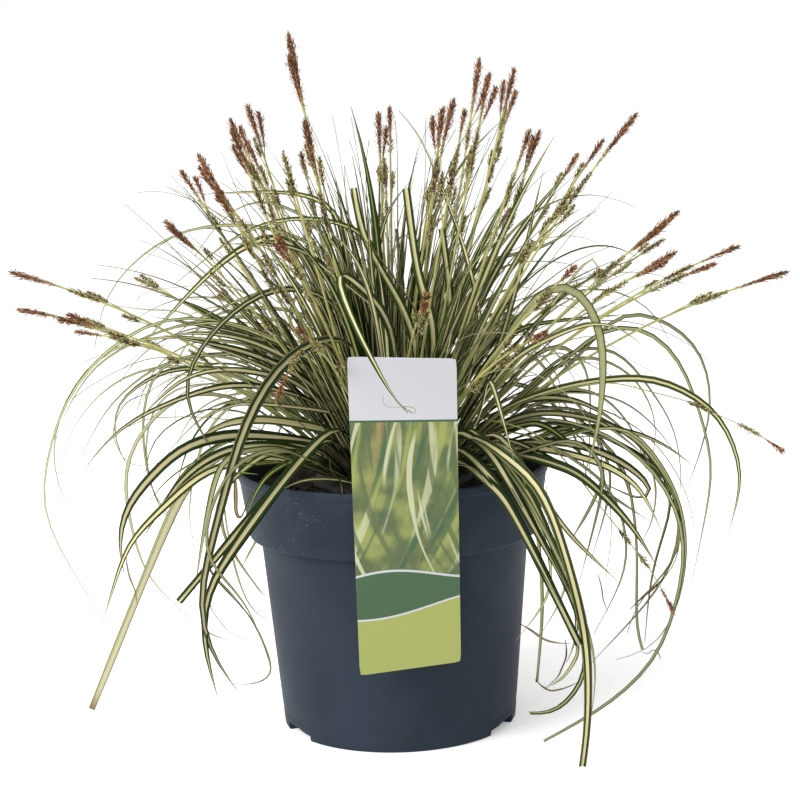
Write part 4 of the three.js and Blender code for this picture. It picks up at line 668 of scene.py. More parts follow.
class Finish:
    """A material whose nodes are added one at a time."""

    def __init__(self, name, **fixed):
        self.material = bpy.data.materials.new(name)
        self.material.use_nodes = True
        self.tree = self.material.node_tree
        self.shader = self.tree.nodes["Principled BSDF"]
        self.set(**fixed)

    def set(self, **values):
        """Sets or links sockets of the surface shader. An underscore stands for a space."""
        for name, value in values.items():
            self.join(value, self.shader.inputs[name.replace("_", " ")])

    def join(self, value, socket):
        if isinstance(value, Field):
            self.tree.links.new(value.socket, socket)
        elif socket.type == "RGBA":
            socket.default_value = (*tuple(value)[:3], 1.0)
        else:
            socket.default_value = value

    def node(self, kind, settings=None, inputs=None, output=0):
        """Adds a node: its settings first, then its sockets' values or links. Gives one output."""
        node = self.tree.nodes.new(kind)
        for name, value in (settings or {}).items():
            if name == "stops":
                self.fill_ramp(node.color_ramp, value)
            else:
                setattr(node, name, value)
        for name, value in (inputs or {}).items():
            self.join(value, node.inputs[name])
        return Field(self, node.outputs[output])

    def fill_ramp(self, ramp, stops):
        while len(ramp.elements) < len(stops):
            ramp.elements.new(1.0)
        for element, (position, tint) in zip(ramp.elements, stops):
            element.position = position
            element.color = (*tint, 1.0)

    def blend(self, first, second, factor, mode="MIX"):
        """Mixes two colours."""
        settings = {"data_type": "RGBA", "blend_type": mode}
        return self.node("ShaderNodeMix", settings, {0: factor, 6: first, 7: second}, 2)

    def paint(self, tint, *layers):
        """Lays colours over a first one, each by its share."""
        for over, part in layers:
            tint = self.blend(tint, over, part)
        return tint

    def parts(self, vector):
        return [self.node("ShaderNodeSeparateXYZ", {}, {0: vector}, k) for k in range(3)]

    def vector(self, x=0.0, y=0.0, z=0.0):
        return self.node("ShaderNodeCombineXYZ", {}, {0: x, 1: y, 2: z})

    def place(self):
        """The point on the surface, in metres."""
        return self.node("ShaderNodeTexCoord", {}, {}, "Object")

    def noise(self, at, scale, detail=2.0, roughness=0.5):
        inputs = {"Vector": at, "Scale": scale, "Detail": detail, "Roughness": roughness}
        return self.node("ShaderNodeTexNoise", {}, inputs, "Fac")

    def grain(self, x, y, z=0.0, detail=2.0, roughness=0.5):
        """Noise that is stretched along a strand, from places on the atlas."""
        return self.noise(self.vector(x, y, z), 1.0, detail, roughness)

    def bump(self, height, strength, distance):
        inputs = {"Height": height, "Strength": strength, "Distance": distance}
        self.set(Normal=self.node("ShaderNodeBump", {}, inputs, "Normal"))

    def atlas(self):
        """The two coordinates of the atlas."""
        return self.parts(self.node("ShaderNodeUVMap", {"uv_map": ATLAS}))[:2]

    def looks(self):
        """Which look a place on the atlas belongs to, how far across it and how far along it lies."""
        u, along = self.atlas()
        column = u * LOOKS
        return column.floor(), column.fract(), along

    def dice(self, number, seed):
        """Three random numbers that depend on one number alone."""
        settings = {"noise_dimensions": "1D"}
        return self.parts(self.node("ShaderNodeTexWhiteNoise", settings, {"W": number + seed}, "Color"))

    def stretched(self, at, scale):
        return self.node("ShaderNodeMapping", {}, {"Vector": at, "Scale": scale})

    def lit(self, tint, bright):
        """A colour made darker or brighter."""
        return self.blend(tint, self.vector(bright, bright, bright), 1.0, "MULTIPLY")


def plastic_finish(settings):
    """Moulded plastic: faint clouds, scratches and dust on the collar, soil specks at the foot."""
    finish = Finish("pot_plastic", Specular_IOR_Level=0.08)
    place = finish.place()
    side, _, height = finish.parts(place)
    clouds = finish.noise(place, 14, 3)
    tint = finish.blend(settings.plastic, scaled(settings.plastic, 0.72), clouds.rise(0.35, 0.75))

    collar = height.rise(0.118, 0.124) * height.rise(0.156, 0.15)
    patches = finish.noise(place, 23, 2).rise(0.52, 0.66)
    specks = finish.noise(place, 520, 1).rise(0.68, 0.74)
    streaks = finish.noise(finish.stretched(place, (40, 40, 700)), 2).rise(0.66, 0.72)
    scuffs = (specks * 0.8 + streaks * 0.35) * patches * (collar * 0.8 + 0.12)
    worn = side.rise(-0.088, -0.078) * side.rise(-0.03, -0.042) * height.rise(0.122, 0.128) * collar
    dashes = finish.noise(finish.stretched(place, (95, 95, 620)), 2, 1).rise(0.74, 0.78)
    scuffs = scuffs + dashes * worn * 0.6
    dust = finish.noise(place, 60, 4).rise(0.5, 0.9) * height.rise(0.02, 0.16) * 0.14
    tint = finish.blend(tint, settings.scuff, scuffs + dust)
    foot_specks = finish.noise(place, 300, 2).rise(0.66, 0.7) * height.rise(0.018, 0.004)
    tint = finish.blend(tint, settings.dirt, foot_specks)

    finish.set(Base_Color=tint, Roughness=0.44 + clouds * 0.16 + scuffs * 0.2)
    finish.bump(finish.noise(place, 900, 2) + clouds * 3, 0.12, 0.0003)
    return finish.material


def soil_finish(settings):
    """Moist peat: dark lumps with paler fibres."""
    finish = Finish("peat", Roughness=0.95, Specular_IOR_Level=0.2)
    place = finish.place()
    lumps = finish.noise(place, 240, 5, 0.65)
    fibres = finish.noise(place, 900, 2).rise(0.6, 0.72)
    tint = finish.blend(settings.dark, settings.light, lumps.rise(0.45, 0.8) * 0.6 + fibres * 0.4)
    finish.set(Base_Color=tint)
    finish.bump(lumps + fibres * 0.5, 0.7, 0.0015)
    return finish.material


def print_finish(settings):
    """The card's front: a pale top, a panel of soft leaning bands, and two plain hills of green."""
    finish = Finish("card_print", Roughness=0.3, Specular_IOR_Level=0.5)
    across, up = finish.atlas()
    across = across * 2
    rise_up = up * 3 - 0.9

    def bands(count, lean, bend, seed, start, end):
        """Soft bands that lean to one side and bend over."""
        bent = across * count + rise_up * lean + rise_up * rise_up * bend
        return finish.grain(bent, rise_up * 0.8, seed, 1, 0.4).rise(start, end)

    blurred = finish.noise(finish.vector(across, rise_up, 8.3), 3.4, 2)
    tint = finish.blend(settings.shade, settings.lime, blurred.rise(0.36, 0.72) * 0.8)
    panel = (
        (settings.deep, bands(9, -6, 1.5, 1.7, 0.46, 0.64) * 0.9),
        (settings.lime, bands(13, -9, 2.5, 4.1, 0.5, 0.7) * 0.7),
        (settings.warm, bands(10, -4, 0.5, 6.3, 0.56, 0.72) * 0.6),
        (settings.stroke, bands(12, -8, 3, 9.5, 0.58, 0.7) * 0.6),
        (settings.shade, bands(12, 8, -3, 15.2, 0.54, 0.66) * 0.8),
        (settings.stroke, bands(14, 7, -4, 12.9, 0.6, 0.68) * 0.8),
    )
    hill = up - (across * 3.4 + 0.5).sine() * 0.022
    low_hill = up + (across * 2.6 + 1.2).sine() * 0.03
    fields = (
        (settings.header, hill.rise(0.307, 0.3055)),
        (settings.deep, hill.rise(0.300, 0.2985)),
        (settings.header, low_hill.rise(0.207, 0.2055)),
        (settings.lime, low_hill.rise(0.201, 0.1995)),
        (settings.deep, up.rise(0.796, 0.7975)),
        (settings.header, up.rise(0.803, 0.8045)),
    )
    finish.set(Base_Color=finish.paint(tint, *panel, *fields))
    finish.bump(finish.noise(finish.place(), 60, 1), 0.05, 0.0004)
    return finish.material


def card_back_finish(settings):
    """The card's unprinted side and its tongue."""
    finish = Finish("card_plain", Roughness=0.42)
    mottle = finish.noise(finish.place(), 90, 3)
    finish.set(Base_Color=finish.blend(settings.header, scaled(settings.header, 0.8), mottle * 0.5))
    return finish.material


def leaf_finish(settings):
    """Striped leaves. The atlas holds one leaf pattern beside another, each running up the leaf."""
    finish = Finish("striped_leaf", Specular_IOR_Level=0.12)
    look, across, along = finish.looks()
    from_middle = abs(across * 2 - 1)
    stripe_dice, margin_dice, value_dice = finish.dice(look, 3.3)
    line_dice, tip_dice, _ = finish.dice(look, 91.7)
    dry, green_kind, pale, wide = (
        (look < LOOK_RANGES[kind][1] - 0.5) * (look > LOOK_RANGES[kind][0] - 0.5) for kind in "dgpu"
    )

    lines = finish.grain(across * 12, along * 0.9, look * 7.3, 1, 0.6)
    fine_lines = finish.grain(across * 34, along * 2, look * 3.9, 1)
    drift = finish.grain(along * 5, look * 5.1)
    half = 0.24 + stripe_dice * 0.14 + (drift - 0.5) * 0.1
    half = half - green_kind * 0.1 + pale * 0.2 + wide * 0.05
    in_stripe = (from_middle + (lines - 0.5) * 0.3 - half).rise(0.06, -0.06)
    from_side_line = abs(from_middle - 0.78 + (lines - 0.5) * 0.14)
    side_line = from_side_line.rise(0.07, 0.02) * (line_dice > 0.5) * 0.5
    in_stripe = in_stripe.larger(side_line)

    veins = lines.rise(0.5, 0.6) * (0.3 + pale * 0.08) + fine_lines.rise(0.5, 0.75) * 0.14
    cream = finish.paint(
        settings.cream,
        (settings.young, margin_dice * 0.18 + green_kind * 0.65),
        (settings.pale, pale * 0.9),
        (settings.sage, veins),
    )
    green = finish.paint(
        settings.green,
        (settings.sage, margin_dice * margin_dice * 0.25 + pale * 0.35),
        (settings.sage, fine_lines.rise(0.46, 0.74) * 0.45),
    )
    dull = from_middle.rise(0.5, 0.9) * 0.6 + lines.rise(0.45, 0.65) * 0.4
    withered = (along + drift * 0.08).rise(0.97, 1.03) * (dry + pale * (tip_dice > 0.6))
    tint = finish.paint(
        green,
        (cream, in_stripe),
        (finish.blend(settings.straw, settings.sage, dull), dry * 0.9),
        (settings.tip, (look < LOOK_RANGES["w"][1] - 0.5) * (0.95 - lines * 0.5)),
        (settings.tip, withered * 0.8),
    )
    bright = 0.6 + value_dice * 0.64 + (drift - 0.5) * 0.15
    # The random tone is then darkened towards the foot of each blade: painted shade in the core of the
    # clump.
    bright = bright * (0.33 + along.rise(0.02, 0.3) * 0.65)
    finish.set(Base_Color=finish.lit(tint, bright), Roughness=0.42 + lines * 0.2 + withered * 0.3)
    finish.bump(lines + fine_lines * 0.6, 0.3, 0.00025)
    return finish.material


def sheath_finish(settings):
    """Dry papery leaf bases, straw to brown, darkened towards the foot as painted shade."""
    finish = Finish("dry_sheath", Roughness=0.7, Specular_IOR_Level=0.3)
    look, across, along = finish.looks()
    tone, _, value = finish.dice(look, 17.1)
    lines = finish.grain(across * 16, along * 2, look * 4.7)
    tint = finish.paint(
        settings.straw,
        (settings.tip, tone.rise(0.1, 0.8) * 0.8),
        (settings.young, along.rise(0.3, 1.0) * (tone < 0.4) * 0.7),
        (settings.tip, lines.rise(0.5, 0.8) * 0.5),
    )
    # A random tone, darkened towards the foot of each sheath: painted shade deep in the crown.
    bright = (0.18 + value * 0.3) * (0.12 + along.rise(0.0, 0.7) * 0.88)
    finish.set(Base_Color=finish.lit(tint, bright))
    finish.bump(lines, 0.4, 0.0003)
    return finish.material


def stem_finish(settings):
    """Ribbed flower stems, greener low down and straw-coloured near the spikes."""
    finish = Finish("flower_stem", Roughness=0.42, Specular_IOR_Level=0.4)
    look, across, along = finish.looks()
    tone, value, _ = finish.dice(look, 41.9)
    ribs = finish.grain(across * 18, along * 2, look * 2.9, 1)
    tint = finish.paint(
        settings.stem_base,
        (settings.stem, along.rise(0.0, 0.65)),
        (settings.stem_base, ribs.rise(0.5, 0.7) * 0.5 + tone * 0.25),
        (settings.brown, along.rise(0.86, 1.0) * tone * 0.5),
    )
    finish.set(Base_Color=finish.lit(tint, 0.85 + value * 0.3))
    finish.bump(ribs, 0.4, 0.0002)
    return finish.material


def spike_finish(name, stops, tip_tint):
    """Scales of a spike. Across the atlas lie the scales' tones, and up it runs each scale's length."""
    finish = Finish(name, Roughness=0.62, Specular_IOR_Level=0.3)
    tone, along = finish.atlas()
    tint = finish.node("ShaderNodeValToRGB", {"stops": stops}, {"Fac": tone}, "Color")
    speckle = finish.grain(tone * 400, along * 3, detail=1)
    # Each scale darkens towards its foot, as painted shade where the scales overlap. The speckle is the
    # scales' own colour.
    tint = finish.lit(tint, 0.38 + along * 0.62 + speckle * 0.25)
    finish.set(Base_Color=finish.blend(tint, tip_tint, along.rise(0.7, 1.0) * (tone < 0.8) * 0.55))
    finish.bump(speckle, 0.3, 0.0002)
    return finish.material


# ---------------------------------------------------------------- mesh helpers


def numbered(corners):
    """The number of each corner in rows of corners."""
    return np.arange(corners.shape[0] * corners.shape[1]).reshape(corners.shape[:2])


def woven(grid):
    """Four-sided faces between neighbouring rows and columns of corner numbers."""
    return np.stack([grid[:-1, :-1], grid[:-1, 1:], grid[1:, 1:], grid[1:, :-1]], -1).reshape(-1, 4)


def atlas_places(corners, across, along):
    """Where rows of corners lie on the atlas."""
    shape = corners.shape[:2]
    return np.stack([np.broadcast_to(across, shape), np.broadcast_to(along, shape)], -1)


class Skin:
    """Corners, faces and atlas places of one mesh, gathered from many strands. Lengths in mm."""

    def __init__(self):
        self.corners = []
        self.places = []
        self.faces = []
        self.count = 0

    def add(self, corners, places, faces):
        """Adds corners with their atlas places. Faces count from this batch's first corner."""
        self.corners.append(np.asarray(corners, float).reshape(-1, 3))
        self.places.append(np.asarray(places, float).reshape(-1, 2))
        self.faces.extend((np.asarray(f) + self.count).tolist() for f in faces)
        self.count += len(self.corners[-1])

    def add_rings(self, rings, places, tip=None, tip_place=None):
        """A closed strand through rings of corners, ending in a point or in a flat end."""
        grid = numbered(rings)
        faces = [*woven(np.hstack([grid, grid[:, :1]])), grid[0][::-1]]
        corners = rings.reshape(-1, 3)
        spots = places.reshape(-1, 2)
        if tip is None:
            faces.append(grid[-1])
        else:
            corners = np.vstack([corners, tip])
            spots = np.vstack([spots, tip_place])
            last = grid[-1]
            point = np.full(len(last), grid.size)
            faces.extend(np.stack([last, np.roll(last, -1), point], -1))
        self.add(corners, spots, faces)

    def add_turned(self, profiles, places=0.0, upward=False):
        """A body turned about the pot's axis, closed at both ends: a row of corners per azimuth."""
        grid = numbered(profiles)
        quads = woven(np.vstack([grid, grid[:1]]))
        ends = [grid[:, 0], grid[:, -1][::-1]]
        if upward:
            quads = quads[:, [0, 3, 2, 1]]
            ends = [end[::-1] for end in ends]
        self.add(profiles, np.broadcast_to(places, (*grid.shape, 2)), [*quads, *ends])

    def build(self, name, materials, smooth=True):
        mesh = bpy.data.meshes.new(name)
        corners = np.vstack(self.corners) * MM
        mesh.from_pydata(corners.tolist(), [], self.faces)
        for material in materials:
            mesh.materials.append(material)
        atlas = mesh.uv_layers.new(name=ATLAS)
        spots = np.vstack(self.places)
        ends = np.empty(len(mesh.loops), np.int32)
        mesh.loops.foreach_get("vertex_index", ends)
        atlas.data.foreach_set("uv", spots[ends].astype(np.float32).ravel())
        mesh.polygons.foreach_set("use_smooth", [smooth] * len(mesh.polygons))
        mesh.update()
        return linked(name, mesh)


def linked(name, data):
    """A new object in the scene."""
    made = bpy.data.objects.new(name, data)
    bpy.context.collection.objects.link(made)
    return made


def settle(piece, slot, *nodes):
    """The piece moves with the root body and stands for its nodes, which it hides. The slot is not used.
    """
    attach(piece, "root")
    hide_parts(*nodes)


def unit(vectors):
    return vectors / np.maximum(np.linalg.norm(vectors, axis=-1, keepdims=True), 1e-12)


def around(azimuths):
    """Level directions at these azimuths, in radians."""
    return np.stack([np.cos(azimuths), np.sin(azimuths), 0 * azimuths], -1)


def full_round(count):
    """Evenly spread azimuths."""
    return np.linspace(0, FULL_TURN, count, endpoint=False)


def turned_rows(azimuths, radii, heights):
    """A row of corners for each azimuth, through these radii and heights."""
    rows = around(azimuths)[:, None] * np.asarray(radii, float)[:, None]
    rows[..., 2] = heights
    return rows


def turned(points, degrees):
    """Points turned about the pot's axis."""
    c = math.cos(math.radians(degrees))
    s = math.sin(math.radians(degrees))
    return points @ np.array([[c, s, 0], [-s, c, 0], [0, 0, 1]])


def turns_to_try(step, most):
    turns = [0]
    turn = step
    while turn <= most:
        turns += [turn, -turn]
        turn += step
    return turns


def measured(path):
    """The length of each chord of a path, and how far along it each of its points lies."""
    steps = np.linalg.norm(np.diff(path, axis=0), axis=1)
    return steps, np.concatenate([[0], np.cumsum(steps)])


def length_of(path):
    return measured(path)[0].sum()


def evenly(points, chords):
    """The same polyline with a given number of equal chords."""
    along = measured(points)[1]
    wanted = np.linspace(0, along[-1], chords + 1)
    return np.stack([np.interp(wanted, along, points[:, k]) for k in range(3)], 1)


def smoothed(points, steps=12):
    """A smooth curve through given points, as a fine polyline."""
    last = len(points) - 1
    fine = []
    for i in range(last):
        before, start, end, after = (points[clamp(i + k, 0, last)] for k in (-1, 0, 1, 2))
        for k in range(steps):
            t = k / steps
            fine.append(
                0.5 * (2 * start + (end - before) * t
                       + (2 * before - 5 * start + 4 * end - after) * t * t
                       + (3 * start - before - 3 * end + after) * t * t * t)
            )
    fine.append(points[last])
    return np.array(fine)


def eased(points, passes=14):
    """The same line with its bends rounded off."""
    line = evenly(points, 60)
    for _ in range(passes):
        line[1:-1] = line[1:-1] / 2 + (line[:-2] + line[2:]) / 4
    return line


def soft_line(points):
    """A fine soft line through given points."""
    return eased(smoothed(np.array(points, float)), 4)


def beyond(path, share):
    """A point past a path's end, by a share of its last chord."""
    return path[-1] + (path[-1] - path[-2]) * share


def frames_along(path, outward, roll):
    """Directions along, across and up at each point of a path, turned by roll about it (degrees)."""
    along = np.empty_like(path)
    along[1:-1] = path[2:] - path[:-2]
    along[0] = path[1] - path[0]
    along[-1] = path[-1] - path[-2]
    along = unit(along)
    flat = np.array([-math.sin(outward), math.cos(outward), 0.0])
    across = unit(flat - along * (along @ flat)[:, None])
    up = np.cross(along, across)
    angle = np.radians(roll)[:, None]
    across = across * np.cos(angle) + up * np.sin(angle)
    return along, across, np.cross(along, across)


def round_strand(path, outward, sides, radii, ribs=(1, 1)):
    """Rings of corners round a path, and the azimuths of the corners. Every other one is a rib."""
    _, across, up = frames_along(path, outward, np.zeros(len(path)))
    turns = np.arange(sides) * FULL_TURN / sides
    rings = [
        path + (across * math.cos(turn) + up * math.sin(turn)) * radii[:, None] * ribs[k % 2]
        for k, turn in enumerate(turns)
    ]
    return np.stack(rings, 1), turns


# ---------------------------------------------------------------- strands that follow the solids


class Draw:
    """The plant's own row of random numbers."""

    FACTOR = 1664525
    STEP = 1013904223
    STATES = 2**32

    def __init__(self, seed):
        self.state = seed

    def __call__(self, low=0.0, high=1.0):
        self.state = (self.state * self.FACTOR + self.STEP) % self.STATES
        return mix(low, high, self.state / self.STATES)


def root_of(azimuth, lean):
    """Where a strand leaves the crown, and its direction there."""
    out = CROWN["ring"] * clamp(lean / CROWN["ring_lean"], 0, 1) ** CROWN["ring_power"]
    surface = mix(CROWN["top"], CROWN["edge"], (out / CROWN["radius"]) ** 2)
    x = math.cos(math.radians(azimuth))
    y = math.sin(math.radians(azimuth))
    spread = math.sin(math.radians(lean))
    direction = np.array([spread * x, spread * y, math.cos(math.radians(lean))])
    return np.array([out * x, out * y, surface]), direction


def heading_to(place):
    azimuth = math.degrees(math.atan2(place[1], place[0]))
    lean = math.degrees(math.atan2(math.hypot(place[0], place[1]), place[2] - CROWN["bottom"]))
    return azimuth, lean


def arch(leaf, length, steps=24):
    leaving, direction = root_of(leaf["azimuth"], leaf["lean"])
    fine = [leaving - direction * CROWN["depth"], leaving]
    step = length / steps
    for i in range(steps):
        passed = (i + 0.5) / steps
        lean = math.radians(leaf["lean"] + leaf["turn"] * passed ** leaf["power"])
        heading = math.radians(leaf["azimuth"] + leaf["sweep"] * passed * passed)
        side = step * math.sin(lean)
        ahead = [side * math.cos(heading), side * math.sin(heading), step * math.cos(lean)]
        fine.append(fine[-1] + ahead)
    return np.array(fine)


def rule_path(leaf):
    """A leaf's middle line that bends over more and more, kept within the plant's spread."""
    fine = arch(leaf, leaf["length"])
    reach = np.hypot(fine[:, 0], fine[:, 1]).max()
    if reach > BLADE["reach"]:
        fine = arch(leaf, leaf["length"] * BLADE["reach"] / reach)
    return fine


def placed_path(route):
    points = np.array(route, float)
    azimuth, lean = heading_to(points[0])
    leaving, direction = root_of(azimuth, min(lean, CROWN["ring_lean"]))
    root = leaving - direction * CROWN["depth"]
    return smoothed(np.vstack([root, points]))


def blade_width(passed, width, blunt):
    swell = mix(BLADE["root_share"], 1, np.clip(passed / BLADE["full_from"], 0, 1))
    if blunt:
        return width * swell * mix(1, BLADE["blunt_share"], passed)
    narrowing = np.clip((passed - BLADE["taper_from"]) / (1 - BLADE["taper_from"]), 0, 1)
    return width * swell * (1 - narrowing ** BLADE["taper_power"])


def tipped_width(passed, width, blunt):
    """A cut leaf's width where the cut end has dried to a thin tip."""
    swell = TIPPED["share"] + TIPPED["swell"] * passed
    return blade_width(passed, width, blunt) * swell * (1 - TIPPED["dried"] * passed ** TIPPED["power"])


def full_width(passed, width, blunt):
    """A hanging leaf's width, which lasts nearly to its tip."""
    if blunt:
        return blade_width(passed, width, blunt)
    swell = mix(BLADE["root_share"], 1, np.clip(passed / BLADE["full_from"], 0, 1))
    narrowing = np.clip((passed - FULL["taper_from"]) / (1 - FULL["taper_from"]), 0, 1)
    return width * FULL["share"] * swell * (1 - narrowing ** FULL["power"])


def facing_roll(path):
    """The roll at which an upright leaf turns its face to the front."""
    start = evenly(path, SEGMENTS["broad"])[1]
    return 90 - math.degrees(math.atan2(start[1], start[0]))


def strand_width(passed, width, _):
    """A wisp's width: nearly even, thin at the foot and pointed at the tip."""
    foot = np.clip(passed / STRAND["foot"], STRAND["foot_share"], 1)
    return width * foot * (1 - STRAND["taper"] * passed ** STRAND["power"])


def blade_edges(nodes, leaf):
    """Both edges of the solid's blade at its nodes."""
    passed = np.linspace(0, 1, len(nodes))
    outward = math.atan2(nodes[1][1], nodes[1][0])
    roll = leaf["roll"] * np.clip(passed / BLADE["roll_by"], 0, 1)
    across = frames_along(nodes, outward, roll)[1]
    half = blade_width(passed, leaf["width"], leaf["blunt"])[:, None] / 2
    return np.vstack([nodes + across * half, nodes - across * half])


def node_corners(node):
    """A node's corners in mm, and a tree to find the nearest one."""
    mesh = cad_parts[node].data
    corners = np.empty(len(mesh.vertices) * 3)
    mesh.vertices.foreach_get("co", corners)
    corners = corners.reshape(-1, 3) / MM
    tree = KDTree(len(corners))
    for i, corner in enumerate(corners):
        tree.insert(corner, i)
    tree.balance()
    return corners, tree


def turn_in_solid(edges, tree, turns, least=4, near=0.02):
    """The turn about the pot's axis at which most of a blade's corners are corners of the solid."""
    best = None
    most = least - 1
    for turn in turns_to_try(*turns):
        spots = turned(edges, turn)
        found = sum(tree.find(spot)[2] < near for spot in spots)
        if found > most:
            best = turn
            most = found
    return best


def placed_leaves():
    """Placed leaves with their fine middle lines, each with the number of its solid's chords."""
    for width, roll, route, blunt, kind in LEAVES:
        leaf = {"width": width, "roll": roll, "blunt": blunt, "kind": kind, "turns": PLACED_TURNS}
        yield leaf, placed_path(route), clamp(len(route), *BLADE["chords"])


def drawn_leaves():
    """Leaves drawn by rule with their fine middle lines and chords."""
    draw = Draw(SEED)
    for count, chords, azimuths, lean, length, turn, power, width in LEAF_RULES:
        for i in range(count):
            leaf = {
                "azimuth": mix(*azimuths, i * GOLDEN_SHARE % 1) + AZIMUTH_JITTER * draw(),
                "lean": draw(*lean),
                "length": draw(*length),
                "turn": draw(*turn),
                "power": draw(*power),
                "width": draw(*width),
                "sweep": draw(*LEAF_SWEEPS),
                "roll": draw(*LEAF_ROLLS),
                "blunt": 0,
                "kind": "bbgb"[i % 4],
                "turns": LEAF_TURNS,
            }
            yield leaf, rule_path(leaf), chords


def main_leaves():
    """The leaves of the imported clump, each with a fine middle line."""
    tree = node_corners("sedge_leaves")[1]
    leaves = []
    for leaf, fine, chords in (*placed_leaves(), *drawn_leaves()):
        found = turn_in_solid(blade_edges(evenly(fine, chords), leaf), tree, leaf["turns"])
        if found is not None:
            leaves.append({**leaf, "path": turned(eased(fine), found)})
    return leaves


def look_of(kind, random):
    return random.integers(*LOOK_RANGES[kind])


def stem_path(stem, turn, bend, chords):
    x, y, z, bow = stem[:4]
    tip = np.array([x, y, z], float)
    azimuth, lean = heading_to(tip)
    leaving, direction = root_of(azimuth, max(lean - bow - bend, 1))
    knee = leaving + direction * 0.5 * np.linalg.norm(tip - leaving)
    t = np.linspace(0, 1, chords + 1)[:, None]
    curve = leaving * (1 - t) ** 2 + knee * 2 * t * (1 - t) + tip * t * t
    return turned(np.vstack([leaving - direction * STEM_DEPTH, curve]), turn)


def stem_in_solid(number, stem, chords=28):
    """A flower stem's fine path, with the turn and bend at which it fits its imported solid."""
    corners = node_corners(STEM_NODES[number])[0]
    tip = corners[np.argmax(np.linalg.norm(corners - [0, 0, CROWN["bottom"]], axis=1))]
    tries = [(turn, bend) for turn in turns_to_try(*STEM_TURNS) for bend in STEM_BENDS]

    def miss(attempt):
        path = stem_path(stem, *attempt, 1)
        near = np.sort(np.linalg.norm(corners - path[0], axis=1))[2]
        return np.linalg.norm(path[-1] - tip) + near

    return stem_path(stem, *min(tries, key=miss), chords)


# ---------------------------------------------------------------- blades


def add_blade(skin, random, leaf, look, segments, thickness, width_rule=blade_width):
    """A leaf blade: folded along its middle, a closed thin lens in section, striped by its look."""
    blunt = leaf.get("blunt", 0)
    path = evenly(leaf["path"], segments)
    passed = np.linspace(0, 1, segments + 1)
    if "wobble" in leaf:
        path = path + wobbled(passed, leaf["wobble"], random)
    outward = math.atan2(path[1][1], path[1][0])
    twist = leaf["roll"] * np.clip(passed / BLADE["roll_by"], 0, 1)
    twist = twist + random.uniform(*MORE_TWIST) * passed**2
    _, across, up = frames_along(path, outward, twist)
    half = np.maximum(width_rule(passed, leaf["width"], blunt) / 2, THINNEST)[:, None]
    fold = BLADE["keel"] * 2 * mix(*FOLDING, passed)[:, None]
    ripple = 1 + RIPPLE["reach"] * np.sin(passed * RIPPLE["waves"] + random.uniform(*PHASES))[:, None]
    reaches, depths = NARROW_SECTION if leaf["width"] < NARROW else SECTION
    rings = []
    for reach, depth in zip(reaches, depths):
        below = half * fold * (1 - abs(reach)) + thickness * depth
        rings.append(path + across * half * reach * ripple - up * below)
    rings = np.stack(rings, 1)
    column = (look + 0.05 + 0.9 * (0.5 - np.array(reaches) / 2)) / LOOKS
    places = atlas_places(rings, column, 0.01 + 0.98 * passed[:, None])
    if blunt:
        skin.add_rings(rings, places)
    else:
        skin.add_rings(rings, places, beyond(path, 0.3), places[-1, len(reaches) // 4])


def wobbled(passed, size_mm, random):
    """Small sideways waves that grow towards the tip."""
    waves = np.zeros((len(passed), 3))
    for turns in (1.3, 2.7):
        phase = random.uniform(*PHASES, 3)
        reach = random.normal(0, 0.6 / turns, 3)
        waves += reach * np.sin(passed[:, None] * turns * 6.28 + phase)
    return waves * size_mm * (passed[:, None] ** 1.5)


def clear_of_holder(path, half):
    """Whether a path stays above the floor and clear of the pot, the soil and the card."""
    radius = np.hypot(path[:, 0], path[:, 1])
    low = path[:, 2] - ROOM["below"]
    if low.min() < FLOOR_LIMIT:
        return False
    inside = POT["rim"] - ROOM["inside"]
    over_soil = (radius > CROWN["radius"] - ROOM["crown"]) & (radius < inside)
    over_rim = (radius >= inside) & (radius < POT["rim"] + half + ROOM["beside"])
    if (over_soil & (low < CROWN["edge"])).any():
        return False
    if (over_rim & (low < POT["height"] + ROOM["over"])).any():
        return False
    x, y, z = turned(path, -CARD["azimuth"]).T
    beside = abs(x) < CARD["half"] + half + ROOM["beside"]
    room = half + ROOM["card"]
    level = (z > CARD["bottom"][1] - room) & (z < CARD["top"][1] + room)
    near = abs(y - CARD["back"]) < ROOM["card_depth"]
    return not (beside & level & near).any()


def fine_leaf(rule, number, random):
    """One thin leaf of a rule, turned until it is clear, or None."""
    _, azimuths, lean, length, turn, power, width, wobble, kinds = rule
    leaf = {
        "azimuth": mix(*azimuths, number * GOLDEN_SHARE % 1) + random.uniform(*FINE_JITTER),
        "lean": random.uniform(*lean),
        "length": random.uniform(*length),
        "turn": random.uniform(*turn),
        "power": random.uniform(*power),
        "sweep": random.uniform(*FINE_SWEEPS),
        "roll": random.uniform(*FINE_ROLLS),
        "width": random.uniform(*width),
        "wobble": wobble,
        "kind": kinds[number % len(kinds)],
    }
    path = rule_path(leaf)
    for extra in range(0, 60, 6):
        path = turned(path, extra)
        if path[:, 1].min() > FRONT_LIMIT and clear_of_holder(path[1:], leaf["width"] / 2):
            return {**leaf, "path": path}
    return None


# ---------------------------------------------------------------- operators


